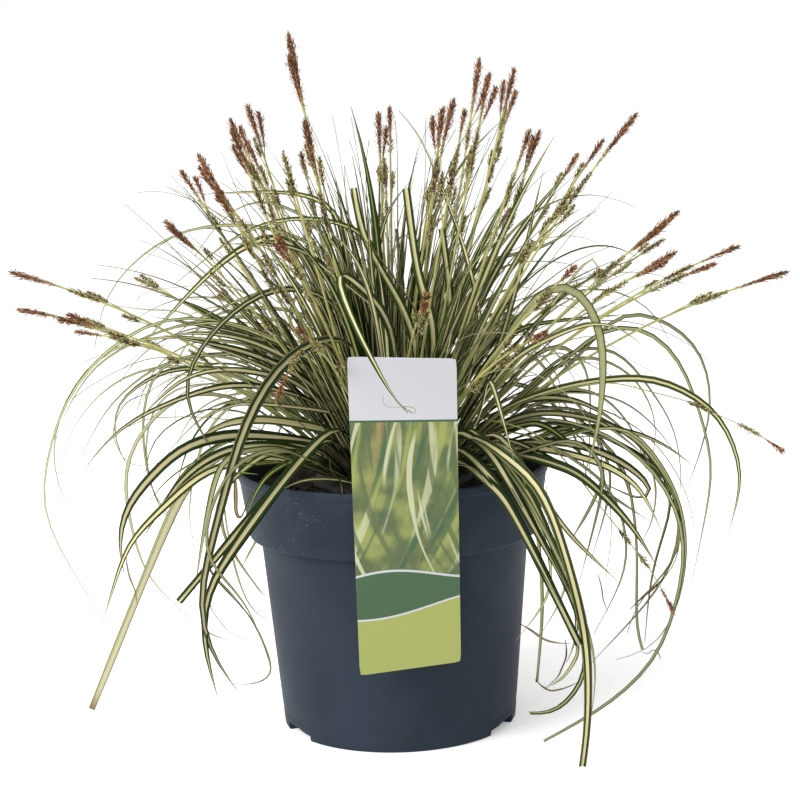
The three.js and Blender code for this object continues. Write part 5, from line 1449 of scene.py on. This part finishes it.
class SedgeStage(bpy.types.Operator):
    """Makes the floor, the soft studio light and the camera"""

    bl_idname = "sedge.stage"
    bl_label = "Stage"

    def execute(self, context):
        settings = context.scene.sedge_stage
        context.scene.view_settings.view_transform = "Standard"
        world = context.scene.world or bpy.data.worlds.new("studio")
        context.scene.world = world
        world.use_nodes = True
        background = world.node_tree.nodes["Background"]
        background.inputs["Color"].default_value = (1, 1, 1, 1)
        background.inputs["Strength"].default_value = settings.daylight
        self.floor(settings)
        for name, place, width in LAMPS:
            self.lamp(name, getattr(settings, name), place, width)
        self.camera(context, settings)
        return {"FINISHED"}

    def floor(self, settings):
        corners = [(x * FLOOR_HALF, y * FLOOR_HALF, 0) for x, y in ((-1, -1), (1, -1), (1, 1), (-1, 1))]
        mesh = bpy.data.meshes.new("floor")
        mesh.from_pydata(corners, [], [(0, 1, 2, 3)])
        finish = Finish("pale_floor", Roughness=0.9, Specular_IOR_Level=0.1)
        finish.set(Base_Color=settings.floor, Emission_Color=(1, 1, 1), Emission_Strength=settings.glow)
        mesh.materials.append(finish.material)
        floor = linked("floor", mesh)

    def lamp(self, name, power, place, width):
        light = bpy.data.lights.new(name, "AREA")
        light.energy = power
        light.size = width
        lamp = linked(name, light)
        lamp.location = place
        lamp.rotation_euler = (Vector(AIM) - lamp.location).to_track_quat("-Z", "Y").to_euler()

    def camera(self, context, settings):
        back = Vector((0, -math.cos(settings.elevation), math.sin(settings.elevation)))
        level = Vector((1, 0, 0))
        upright = back.cross(level)
        right = level * math.cos(settings.roll) + upright * math.sin(settings.roll)
        up = upright * math.cos(settings.roll) - level * math.sin(settings.roll)
        lens = bpy.data.cameras.new("camera")
        lens.lens = settings.lens
        lens.sensor_width = SENSOR
        camera = linked("camera", lens)
        turn = Matrix((right, up, back)).transposed().to_4x4()
        camera.matrix_world = Matrix.Translation(Vector(CAMERA_TARGET) + back * settings.distance) @ turn
        context.scene.camera = camera


def rounded(profile, steps=5):
    """A profile of (radius, height, rounding) corners, with each rounded corner as an arc."""
    points = []
    for i, (r, z, rounding) in enumerate(profile):
        corner = np.array([r, z], float)
        if not rounding:
            points.append(corner)
            continue
        before = np.array(profile[i - 1][:2], float)
        after = np.array(profile[i + 1][:2], float)
        start = corner + unit(before - corner) * rounding
        end = corner + unit(after - corner) * rounding
        for k in range(steps + 1):
            t = k / steps
            points.append(start * (1 - t) ** 2 + corner * 2 * t * (1 - t) + end * t * t)
    return np.array(points)


class SedgePot(bpy.types.Operator):
    """Makes the round nursery pot with its collar, foot notches and drain holes"""

    bl_idname = "sedge.pot"
    bl_label = "Pot"

    def execute(self, context):
        settings = context.scene.sedge_pot
        scale = np.array([settings.rim_radius / MM / POT["rim"], settings.height / MM / POT["height"]])
        half_notch = math.degrees(math.asin(NOTCH["width"] / 2 / POT["base"]))
        azimuths = []
        for k in range(NOTCH["count"]):
            middle = NOTCH["first"] + k * 360 / NOTCH["count"]
            inside = half_notch - NOTCH["side"]
            azimuths += [(a, True) for a in middle + np.linspace(-inside, inside, NOTCH["columns"])]
            after = middle + half_notch
            until = middle + 360 / NOTCH["count"] - half_notch
            azimuths += [(a, False) for a in np.linspace(after, until, NOTCH["columns_between"])]
        rings = []
        for azimuth, notched in azimuths:
            outline = self.outline(notched) * scale
            x = math.sin(math.radians(azimuth))
            y = -math.cos(math.radians(azimuth))
            rings.append(np.stack([outline[:, 0] * x, outline[:, 0] * y, outline[:, 1]], 1))
        skin = Skin()
        skin.add_turned(np.array(rings), upward=True)
        pot = skin.build("nursery_pot", [plastic_finish(settings)])
        self.drill(context, pot)
        pot.data.uv_layers.remove(pot.data.uv_layers[ATLAS])
        pot.data.set_sharp_from_angle(angle=math.radians(38))
        settle(pot, "pot_plastic", "pot")
        return {"FINISHED"}

    def outline(self, notched):
        """Profile from the underside, out and up the wall, over the rim and down inside."""
        wall_slope = (POT["shoulder"] - POT["base"]) / (POT["height"] - POT["collar"])
        top = POT["height"]
        collar = top - POT["collar"]
        inner = POT["rim"] - POT["lip"]
        lifted = NOTCH["height"] if notched else 0
        foot = [
            (4, 0, 0),
            (NOTCH["inner"], 0, 0),
            (NOTCH["inner"] + 0.3, lifted, 0),
            (POT["base"] + lifted * wall_slope, lifted, 1.3),
            (POT["base"] + 8.6 * wall_slope, 8.6, 0),
            (POT["base"] + 9.0 * wall_slope - 0.25, 9.0, 0),
            (POT["base"] + 10 * wall_slope - 0.25, 10, 0),
            (POT["base"] + 14 * wall_slope, 14, 0),
        ]
        upper = [
            (POT["shoulder"], collar - 1.4, 1.2),
            (POT["collar_radius"] - 1.6, collar - 0.9, 0),
            (POT["collar_radius"], collar - 0.2, 1.4),
            (POT["collar_radius"] + 0.35, collar + 3.5, 0),
            (POT["rim"] - 0.9, top - 5.2, 0.5),
            (POT["rim"], top - 4.4, 0.5),
            (POT["rim"], top, 1.0),
            (inner, top, 1.0),
            (POT["collar_radius"] - POT["wall"], collar + 1.6, 1.0),
            (POT["shoulder"] - POT["wall"] + 0.2, collar + 0.6, 1.0),
            (POT["base"] - POT["wall"], POT["floor"], 1.5),
            (4, POT["floor"], 0),
        ]
        return rounded(foot + upper)

    def drill(self, context, pot):
        """Cuts the drain holes."""
        holes = Skin()
        circle = around(full_round(24)) * DRAIN["radius"]
        for i in range(DRAIN["count"]):
            azimuth = math.radians(i * 360 / DRAIN["count"] + 90)
            middle = np.array([DRAIN["ring"] * math.cos(azimuth), DRAIN["ring"] * math.sin(azimuth), 0])
            rings = np.stack([middle + circle + [0, 0, z] for z in (-3, POT["floor"] + 3)])
            holes.add_rings(rings, atlas_places(rings, 0, 0))
        cutter = holes.build("drill", [])
        cut = pot.modifiers.new("drain", "BOOLEAN")
        cut.object = cutter
        cut.solver = "EXACT"
        context.view_layer.objects.active = pot
        context.view_layer.update()
        evaluated = pot.evaluated_get(context.evaluated_depsgraph_get())
        drilled = bpy.data.meshes.new_from_object(evaluated)
        pot.modifiers.clear()
        pot.data = drilled
        bpy.data.objects.remove(cutter)


def lump_noise(points, scale, seed):
    """Smooth noise of points in mm, from sums of waves."""
    random = np.random.default_rng(seed)
    total = np.zeros(len(points))
    for octave in range(5):
        for _ in range(7):
            direction = unit(random.normal(size=3)) * scale * 1.9**octave
            total += np.sin(points @ direction + random.uniform(*PHASES)) / 1.7**octave
    return total / 7


class SedgeSoil(bpy.types.Operator):
    """Makes the lumpy soil round the crown, with loose crumbs and root fibres"""

    bl_idname = "sedge.soil"
    bl_label = "Soil"

    def execute(self, context):
        settings = context.scene.sedge_soil
        skin = Skin()
        self.bed(skin, settings)
        self.crumbs(skin, settings)
        self.fibres(skin)
        soil = skin.build("soil_bed", [soil_finish(settings)])
        soil.data.uv_layers.remove(soil.data.uv_layers[ATLAS])
        settle(soil, "soil", "soil")
        return {"FINISHED"}

    def level(self, radius):
        passed = (radius - CROWN["radius"]) / (SOIL["edge_at"] - CROWN["radius"])
        return mix(SOIL["inner"], SOIL["edge"], passed)

    def bed(self, skin, settings):
        """The lumpy top, with plain walls down to the pot's floor and round the crown."""
        azimuths = full_round(220)
        radii = np.linspace(CROWN["radius"] - 4, SOIL["radius"], 30)
        top = turned_rows(azimuths, radii, self.level(radii))
        lumps = lump_noise(top.reshape(-1, 3), scale=0.22, seed=5).reshape(top.shape[:2])
        fade = np.clip((SOIL["radius"] - radii) / 3, 0.25, 1)
        top[..., 2] += lumps * settings.lump / MM * fade - 0.6
        inside = turned_rows(azimuths, (SOIL["middle"], radii[0]), SOIL["pocket"])
        below = turned_rows(azimuths, (86.4, 80, 70, SOIL["middle"]), (124, 118, 4, 4))
        skin.add_turned(np.hstack([inside, top, below]))

    def crumbs(self, skin, settings):
        """Loose crumbs: dented eight-sided lumps."""
        random = np.random.default_rng(SEEDS["crumbs"])
        poles = np.array([(1, 0, 0), (0, 1, 0), (-1, 0, 0), (0, -1, 0), (0, 0, 1), (0, 0, -1)], float)
        sides = [(0, 1, 4), (1, 2, 4), (2, 3, 4), (3, 0, 4), (1, 0, 5), (2, 1, 5), (3, 2, 5), (0, 3, 5)]
        for _ in range(settings.crumbs):
            radius = math.sqrt(random.uniform((CROWN["radius"] - 3) ** 2, CRUMB["outside"] ** 2))
            azimuth = random.uniform(0, FULL_TURN)
            girth = random.uniform(*CRUMB["girth"])
            turn = random.uniform(*PHASES)
            spin = Matrix.Rotation(turn, 3, Vector(random.normal(size=3)).normalized())
            lump = poles * random.uniform(*CRUMB["dents"], (6, 1)) * girth @ np.array(spin)
            height = self.level(radius) + CRUMB["lift"] * girth
            place = [radius * math.cos(azimuth), radius * math.sin(azimuth), height]
            skin.add(lump + place, np.zeros((6, 2)), sides)

    def fibres(self, skin):
        """Thin pale roots lying on the soil."""
        random = np.random.default_rng(SEEDS["fibres"])
        for _ in range(FIBRE["count"]):
            radius = random.uniform(CROWN["radius"], FIBRE["outside"])
            azimuth = random.uniform(0, FULL_TURN)
            path = [np.array([radius * math.cos(azimuth), radius * math.sin(azimuth), 0])]
            heading = random.uniform(*PHASES)
            for _ in range(FIBRE["steps"]):
                heading += random.normal(0, FIBRE["bend"])
                path.append(path[-1] + around(heading) * FIBRE["step"])
            path = np.array(path)
            spread = np.hypot(path[:, 0], path[:, 1])
            kept = np.clip(spread, CROWN["radius"], FIBRE["outside"] + 2)
            path[:, :2] *= kept[:, None] / spread[:, None]
            path[:, 2] = self.level(np.hypot(path[:, 0], path[:, 1])) + FIBRE["lift"]
            add_thread(skin, path, FIBRE["radius"], 0.5)


def add_thread(skin, path, radius, tone, taper=0.6):
    """A thin three-sided strand along a path."""
    rings, turns = round_strand(path, 0.3, 3, radius * np.linspace(1, taper, len(path)))
    places = atlas_places(rings, tone + 0.002 * np.cos(turns), np.linspace(0.05, 0.9, len(path))[:, None])
    skin.add_rings(rings, places, beyond(path, 0.4), (tone, 0.98))


class SedgeCard(bpy.types.Operator):
    """Makes the printed card that hangs on the rim by a folded tongue"""

    bl_idname = "sedge.card"
    bl_label = "Card"

    def execute(self, context):
        settings = context.scene.sedge_card
        skin = Skin()
        front_count = self.sheet(skin)
        self.tongue(skin)
        card = skin.build("hang_card", [print_finish(settings), card_back_finish(settings)], smooth=False)
        tints = [0 if i < front_count else 1 for i in range(len(card.data.polygons))]
        card.data.polygons.foreach_set("material_index", tints)
        settle(card, "card", "label_card")
        return {"FINISHED"}

    def sheet(self, skin):
        """The flat card, faintly bowed. Gives how many of its faces are printed."""
        columns = 16
        rows = 36
        left_x, left_z, right_x, right_z = CARD["top"]
        low_left_x, low_left_z, low_right_x, low_right_z = CARD["bottom"]
        across = np.linspace(0, 1, columns + 1)
        up = np.linspace(0, 1, rows + 1)[:, None]
        x = mix(mix(low_left_x, left_x, up), mix(low_right_x, right_x, up), across)
        z = mix(mix(low_left_z, left_z, up), mix(low_right_z, right_z, up), across)
        bow = CARD["bow"] * (1 - (2 * across - 1) ** 2) * up * (1 - up)
        front = CARD["back"] - CARD["thickness"] - bow
        for row, sign_z in ((0, 1), (-1, -1)):
            for column, sign_x in ((0, 1), (-1, -1)):
                x[row, column] += CARD["corner_cut"] * sign_x
                z[row, column] += CARD["corner_cut"] * sign_z
        sides = [np.stack([x, y, z], -1) for y in (front, front + CARD["thickness"])]
        grid = numbered(x)
        quads = woven(grid)
        back_quads = quads[:, ::-1] + grid.size
        rim = np.concatenate([grid[0, :-1], grid[:-1, -1], grid[-1, :0:-1], grid[:0:-1, 0]])
        after = np.roll(rim, -1)
        walls = np.stack([after, rim, rim + grid.size, after + grid.size], -1)
        places = atlas_places(x, across * 0.5, up)
        corners = turned(np.array(sides), CARD["azimuth"])
        skin.add(corners, [places, places], [*quads, *back_quads, *walls])
        return len(quads)

    def tongue(self, skin):
        """A strip from the card's back over the rim and down inside the pot."""
        over = POT["height"] + 0.35 + CARD["thickness"] / 2
        middle = CARD["back"] - CARD["thickness"] / 2 + 0.45
        inside = CARD["tongue_inside"] + CARD["thickness"] / 2
        corners = [(middle, CARD["tongue_root"], 0), (middle, over, 1.6), (inside, over, 1.6)]
        corners.append((inside, CARD["tongue_bottom"], 0))
        line = rounded(corners, 8)
        ahead = unit(np.gradient(line, axis=0))
        side = np.stack([-ahead[:, 1], ahead[:, 0]], 1) * CARD["thickness"] / 2
        half = CARD["tongue_half"]
        outer = line + side
        inner = line - side
        rings = np.stack(
            [
                np.stack([0 * outer[:, 0] + x, edge[:, 0], edge[:, 1]], 1)
                for x, edge in ((-half, outer), (half, outer), (half, inner), (-half, inner))
            ],
            1,
        )
        rings = turned(rings, CARD["azimuth"])[::-1]
        along = np.linspace(0.02, 0.98, len(rings))[:, None]
        skin.add_rings(rings, atlas_places(rings, (0.6, 0.95, 0.95, 0.6), along))


class SedgeLeaves(bpy.types.Operator):
    """Makes the broad striped leaves of the clump"""

    bl_idname = "sedge.leaves"
    bl_label = "Broad leaves"

    def execute(self, context):
        settings = context.scene.sedge_leaf
        random = np.random.default_rng(SEEDS["broad"])
        skin = Skin()
        for leaf in main_leaves():
            look = look_of(leaf["kind"], random)
            if leaf["kind"] == "u":
                leaf["roll"] = facing_roll(leaf["path"])
            if leaf["kind"] == "p":
                leaf["width"] *= ROLLED_SHARE
            width_rule = tipped_width if leaf["kind"] == "t" else full_width
            add_blade(skin, random, leaf, look, SEGMENTS["broad"], settings.thickness / MM, width_rule)
        leaves = skin.build("broad_leaves", [leaf_finish(settings)])
        settle(leaves, "leaf", "sedge_leaves")
        return {"FINISHED"}


class SedgeFineLeaves(bpy.types.Operator):
    """Makes the thin leaves and withered wisps between the broad ones"""

    bl_idname = "sedge.fine_leaves"
    bl_label = "Fine leaves"

    def execute(self, context):
        settings = context.scene.sedge_leaf
        random = np.random.default_rng(SEEDS["fine"])
        thickness = settings.thickness / MM * FINE_THINNER
        skin = Skin()
        for rule in FINE_RULES:
            for number in range(round(rule[0] * settings.fine)):
                leaf = fine_leaf(rule, number, random)
                if leaf is None:
                    continue
                look = look_of(leaf["kind"], random)
                segments = SEGMENTS["long" if leaf["length"] > 200 else "short"]
                add_blade(skin, random, leaf, look, segments, thickness)
        for width, route, kind in WISPS:
            leaf = {"path": soft_line(route), "width": width, "roll": math.copysign(60, route[-1][0])}
            look = look_of(kind, random)
            add_blade(skin, random, leaf, look, SEGMENTS["long"], thickness, strand_width)
        material = bpy.data.materials.get("striped_leaf") or leaf_finish(settings)
        leaves = skin.build("fine_leaves", [material])
        settle(leaves, "leaf", "sedge_leaves")
        return {"FINISHED"}


class SedgeCrown(bpy.types.Operator):
    """Makes the crown of packed leaf bases with its dry sheaths"""

    bl_idname = "sedge.crown"
    bl_label = "Crown"

    def execute(self, context):
        settings = context.scene.sedge_leaf
        random = np.random.default_rng(SEEDS["crown"])
        skin = Skin()
        self.mound(skin)
        for number in range(settings.sheaths):
            lean = random.uniform(4, 52)
            leaving, direction = root_of(number * GOLDEN_ANGLE, lean)
            length = random.uniform(14, 38)
            bend = np.array([0, 0, random.uniform(-0.35, 0.25)])
            t = np.linspace(-0.25, 1, 9)[:, None]
            path = leaving + direction * length * t + bend * length * t * abs(t)
            path[:, 2] = np.maximum(path[:, 2], SOIL["edge"] + 2.4)
            look = random.integers(0, LOOKS)
            sheath = {
                "path": path,
                "width": random.uniform(2.5, 5),
                "roll": random.uniform(-40, 40),
                "wobble": 1.5,
            }
            add_blade(skin, random, sheath, look, SEGMENTS["sheath"], settings.thickness / MM)
        crown = skin.build("crown_sheaths", [sheath_finish(settings)])
        settle(crown, "leaf", "sedge_leaves")
        return {"FINISHED"}

    def mound(self, skin):
        """The round mound that all leaves grow from."""
        azimuths = full_round(72)
        radii = np.concatenate([np.linspace(2, 48.5, 14), [49.3, 49.3, 2]])
        heights = mix(CROWN["top"], CROWN["edge"], (radii / CROWN["radius"]) ** 2)
        heights[-3:] = (CROWN["edge"] - 2, CROWN["bottom"] + 6, CROWN["bottom"] + 6)
        rows = turned_rows(azimuths, radii, heights)
        ridges = lump_noise(rows.reshape(-1, 3), scale=0.5, seed=3).reshape(rows.shape[:2])
        rows[:, 1:14, 2] += ridges[:, 1:14] * 0.9
        # The mound's atlas places lie near the foot of the sheaths' pattern, so the sheath finish paints
        # it dark with painted shade.
        across = (7.1 + 0.8 * np.linspace(0, 1, len(radii))) / LOOKS
        along = 0.02 + 0.1 * abs(np.sin(azimuths * 9))[:, None]
        skin.add_turned(rows, atlas_places(rows, across, along))


def all_stems():
    return [stem_in_solid(number, stem) for number, stem in enumerate(STEMS)]


def point_along(path, distance):
    """The place and direction at a distance along a path."""
    steps, passed = measured(path)
    i = int(np.clip(np.searchsorted(passed, distance) - 1, 0, len(steps) - 1))
    direction = (path[i + 1] - path[i]) / steps[i]
    return path[i] + direction * (distance - passed[i]), direction


def stretch(path, start, end, count=9):
    """The part of a path between two distances."""
    return np.array([point_along(path, d)[0] for d in np.linspace(start, end, count)])


def spike_plan(path, stem, random):
    """A stem's spikes, each as (line, is brown), and the little side stalks that bear some."""
    total = length_of(path)
    brown = stem[4]
    green = stem[5] * WHORL_STEP
    green_start = total - brown - green - (SPIKE_GAP if brown else 0)
    spikes = []
    stalks = []
    if brown:
        spikes.append((stretch(path, total - brown, total), True))
    if green:
        spikes.append((stretch(path, green_start, green_start + green, 7), False))
    if brown > LONG_SPIKE or brown and random.random() < SIDE_SPIKE["chance"]:
        lean = SIDE_SPIKE["long_lean"] if brown > LONG_SPIKE else random.uniform(*SIDE_SPIKE["lean"])
        reach = random.uniform(*SIDE_SPIKE["reach"]) * brown + 8
        stalk = side_stalk(path, total - brown - SIDE_SPIKE["below"], reach, random, lean)
        stalks.append(stalk[:4])
        spikes.append((stalk[3:], True))
    for k in range(random.integers(1, 4)):
        start = green_start - LOW_SPIKE["below"] - k * random.uniform(*LOW_SPIKE["spacing"])
        if start < LOW_SPIKE["lowest"] * total:
            break
        reach = random.uniform(*LOW_SPIKE["reach"])
        stalk = side_stalk(path, start, reach, random, random.uniform(*LOW_SPIKE["lean"]))
        split = int(len(stalk) * random.uniform(*LOW_SPIKE["bare_share"]))
        stalks.append(stalk[: split + 1])
        spikes.append((stalk[split:], False))
    return spikes, stalks


def side_stalk(path, start, length, random, angle):
    """A short stalk that leaves a stem at an angle and bends back along it."""
    place, direction = point_along(path, start)
    sideways = unit(np.cross(direction, random.normal(size=3)))
    t = np.linspace(0, 1, 12)[:, None]
    spread = math.tan(math.radians(angle))
    return place + direction * length * t + sideways * spread * length * (t - 0.35 * t * t)


class SedgeStems(bpy.types.Operator):
    """Makes the flower stems with their side stalks"""

    bl_idname = "sedge.stems"
    bl_label = "Flower stems"

    def execute(self, context):
        settings = context.scene.sedge_flower
        skin = Skin()
        for number, (stem, path) in enumerate(zip(STEMS, all_stems())):
            look = number % LOOKS
            self.tube(skin, evenly(path, 26), look, STEM)
            for stalk in spike_plan(path, stem, np.random.default_rng(STEM_SEED + number))[1]:
                self.tube(skin, stalk, look, SIDE_STALK)
        for points, _ in HANGING:
            self.tube(skin, soft_line(points), 3, HANGING_STALK)
        stems = skin.build("flower_stems", [stem_finish(settings)])
        settle(stems, "flower_stem", *STEM_NODES)
        return {"FINISHED"}

    def tube(self, skin, path, look, kind):
        """A stem with blunt ribs."""
        radii, sides, low = kind
        outward = math.atan2(path[-1][1], path[-1][0])
        radii = np.linspace(*radii, len(path))
        rings, turns = round_strand(path, outward, sides, radii, ribs=(0.9, 1.1))
        across = (look + 0.1 + 0.8 * abs(1 - turns / math.pi)) / LOOKS
        along = np.linspace(low, 0.99, len(path))[:, None] * 0.98 + 0.01
        skin.add_rings(rings, atlas_places(rings, across, along))


def add_scales(skin, bases, directions, outward, lengths, widths, tones):
    """Pointed boat-shaped scales: each has a base, two sides, a ridge and a tip."""
    side = unit(np.cross(directions, outward)) * widths[:, None] / 2
    ridge = outward * widths[:, None] * 0.42
    ahead = directions * lengths[:, None]
    corners = [
        bases,
        bases + ahead * 0.42 + side,
        bases + ahead * 0.42 - side,
        bases + ahead * 0.45 + ridge,
        bases + ahead,
    ]
    across = tones[:, None] + np.array([0, 0.004, -0.004, 0.001, 0])
    corners = np.stack(corners, 1)
    places = atlas_places(corners, across, (0.02, 0.42, 0.42, 0.52, 0.98))
    shape = np.array([(0, 3, 1), (1, 3, 4), (4, 3, 2), (2, 3, 0), (0, 1, 4), (0, 4, 2)])
    skin.add(corners, places, (shape[None] + 5 * np.arange(len(tones))[:, None, None]).reshape(-1, 3))


def add_spike(skin, line, random, radius, shape):
    """A spike: a slim core, scales packed in a spiral round it, and fine threads between them."""
    length = length_of(line)
    line = evenly(line, 10)
    _, across, up = frames_along(line, SPIKE_OUTWARD, np.zeros(len(line)))
    count = max(14, int(length * shape["per_mm"]))
    passed = (np.arange(count) + 0.5) / count
    index = passed * (len(line) - 1)
    full = shape["girth"](passed)

    def at(values):
        return np.stack([np.interp(index, np.arange(len(line)), values[:, k]) for k in range(3)], 1)

    along = unit(at(np.gradient(line, axis=0)))
    angle = np.radians(np.arange(count) * GOLDEN_ANGLE + random.uniform(0, 360))[:, None]
    outward = unit(at(across) * np.cos(angle) + at(up) * np.sin(angle))
    clumps = np.sin(passed * length * 0.9 + random.uniform(*PHASES)) * np.sin(passed * length * 0.37)
    girth = radius * (full * (1 + 0.3 * clumps))[:, None] * random.uniform(0.75, 1.25, (count, 1))
    tilt = np.radians(random.uniform(*shape["tilt"], count))[:, None]
    directions = unit(along * np.cos(tilt) + outward * np.sin(tilt))
    bases = at(line) + outward * girth * 0.5 - along * shape["scale"] * 0.3
    lengths = shape["scale"] * random.uniform(0.65, 1.35, count) * (0.45 + 0.55 * full)
    widths = shape["width"] * random.uniform(0.8, 1.2, count) * (0.5 + 0.5 * full)
    tones = np.clip(random.normal(random.uniform(0.2, 0.6), 0.2, count), *SCALE_TONES)
    add_scales(skin, bases, directions, outward, lengths, widths, tones)
    add_core(skin, line, radius, shape)
    for k in random.integers(count, size=int(count * shape["threads"])):
        start = bases[k] + outward[k] * girth[k] * 0.3
        drop = unit(outward[k] * random.uniform(0.2, 1.1) + along[k] * random.uniform(-0.6, 1.2)
                    + random.normal(0, 0.5, 3))
        reach = random.uniform(*shape["thread_length"])
        bend = np.array([0, 0, -0.3]) + random.normal(0, 0.3, 3)
        t = np.linspace(0, 1, 3)[:, None]
        path = start + (drop * t + bend * t * t) * reach
        add_thread(skin, path, 0.12, random.uniform(0.86, 0.97), 0.8)


def add_core(skin, line, radius, shape):
    """The slim core that closes the gaps between a spike's scales."""
    girth = shape["girth"](np.linspace(0, 1, len(line)))
    rings, turns = round_strand(line, SPIKE_OUTWARD, 5, radius * 0.55 * np.maximum(girth, 0.25))
    # The core takes the darkest tone, low along the scales' pattern, so it shows as painted shade in the
    # gaps between the scales.
    tone = SCALE_TONES[0] + 0.01
    along = np.linspace(0.1, 0.5, len(line))[:, None]
    places = atlas_places(rings, tone + 0.01 * np.cos(turns), along)
    skin.add_rings(rings, places, beyond(line, 0.5), (tone, 0.6))


def club(passed):
    """Slim at its foot, widest near the tip."""
    tip = 1 - 0.65 * np.clip((passed - 0.8) / 0.2, 0, 1) ** 2
    return 0.12 + 0.88 * np.clip(passed / 0.66, 0, 1) ** 1.2 * tip


def spindle(passed):
    """Widest at its middle."""
    return 0.5 + 0.5 * np.sin(np.pi * np.clip(passed * 0.9 + 0.08, 0, 1))


SPIKE_OUTWARD = 0.7  # the azimuth from which a spike's corners are counted, in radians
BROWN_SPIKE = {
    "per_mm": 3.4,
    "scale": 3.6,
    "width": 1.2,
    "tilt": (2, 40),
    "threads": 0.7,
    "thread_length": (0.8, 2.6),
    "girth": club,
    "hanging": 0.5,
}
GREEN_SPIKE = {
    "per_mm": 2.8,
    "scale": 3.1,
    "width": 1.3,
    "tilt": (10, 46),
    "threads": 0.8,
    "thread_length": (0.8, 2.4),
    "girth": spindle,
    "hanging": 0.55,
}


def plumpness(line, is_brown):
    """How wide a spike is for its length, against the width in the settings."""
    if is_brown:
        return mix(0.75, 1.3, clamp((length_of(line) - 20) / 24, 0, 1))
    return clamp(length_of(line) / 20, 0.7, 1)


class SedgeSpikes(bpy.types.Operator):
    """Makes the brown top spikes and the green lower ones"""

    bl_idname = "sedge.spikes"
    bl_label = "Spikes"

    def execute(self, context):
        settings = context.scene.sedge_flower
        kinds = {
            True: (Skin(), settings.brown_radius / MM, BROWN_SPIKE),
            False: (Skin(), settings.green_radius / MM, GREEN_SPIKE),
        }
        for number, (stem, path) in enumerate(zip(STEMS, all_stems())):
            random = np.random.default_rng(STEM_SEED + number)
            for line, is_brown in spike_plan(path, stem, random)[0]:
                skin, radius, shape = kinds[is_brown]
                add_spike(skin, line, random, radius * plumpness(line, is_brown), shape)
        random = np.random.default_rng(SEEDS["hanging"])
        for points, spikes in HANGING:
            for start, end, is_brown in spikes:
                skin, radius, shape = kinds[is_brown]
                line = stretch(soft_line(points), start, end)
                add_spike(skin, line, random, radius * shape["hanging"], shape)
        dark, warm, olive = (tuple(c) for c in (settings.brown_dark, settings.brown, settings.olive))
        anther, thread = tuple(settings.anther), tuple(settings.thread)
        brown_stops = (
            (0.0, dark),
            (0.3, warm),
            (0.5, dark),
            (0.65, warm),
            (0.8, anther),
            (0.98, anther),
        )
        green_stops = (
            (0.0, dark),
            (0.2, scaled(olive, 0.6)),
            (0.5, olive),
            (0.78, scaled(olive, 1.3)),
            (0.84, thread),
        )
        for is_brown, name, stops in ((True, "brown", brown_stops), (False, "green", green_stops)):
            finish = spike_finish(name + "_scales", stops, dark)
            piece = kinds[is_brown][0].build(name + "_spikes", [finish], smooth=False)
            settle(piece, "flower_stem", *STEM_NODES)
        return {"FINISHED"}


class SedgePanel(bpy.types.Panel):
    """Lists the pieces of the potted sedge and their settings"""

    bl_idname = "VIEW3D_PT_sedge"
    bl_label = "Potted sedge"
    bl_space_type = "VIEW_3D"
    bl_region_type = "UI"
    bl_category = "Sedge"

    def draw(self, context):
        for operator in OPERATORS:
            self.layout.operator(operator.bl_idname)
        for name, group in SETTINGS.items():
            box = self.layout.box()
            box.label(text=name.title())
            for value in group.__annotations__:
                box.prop(getattr(context.scene, "sedge_" + name), value)


OPERATORS = (
    SedgeStage,
    SedgePot,
    SedgeSoil,
    SedgeCard,
    SedgeCrown,
    SedgeLeaves,
    SedgeFineLeaves,
    SedgeStems,
    SedgeSpikes,
)


def register():
    for group in (*SETTINGS.values(), *OPERATORS, SedgePanel):
        bpy.utils.register_class(group)
    for name, group in SETTINGS.items():
        setattr(bpy.types.Scene, "sedge_" + name, bpy.props.PointerProperty(type=group))


def unregister():
    for name in SETTINGS:
        delattr(bpy.types.Scene, "sedge_" + name)
    for group in (SedgePanel, *reversed(OPERATORS), *reversed(SETTINGS.values())):
        bpy.utils.unregister_class(group)


def main():
    register()
    for operator in OPERATORS:
        name = operator.bl_idname.split(".")[1]
        getattr(bpy.ops.sedge, name)()


if __name__ == "__main__":
    main()
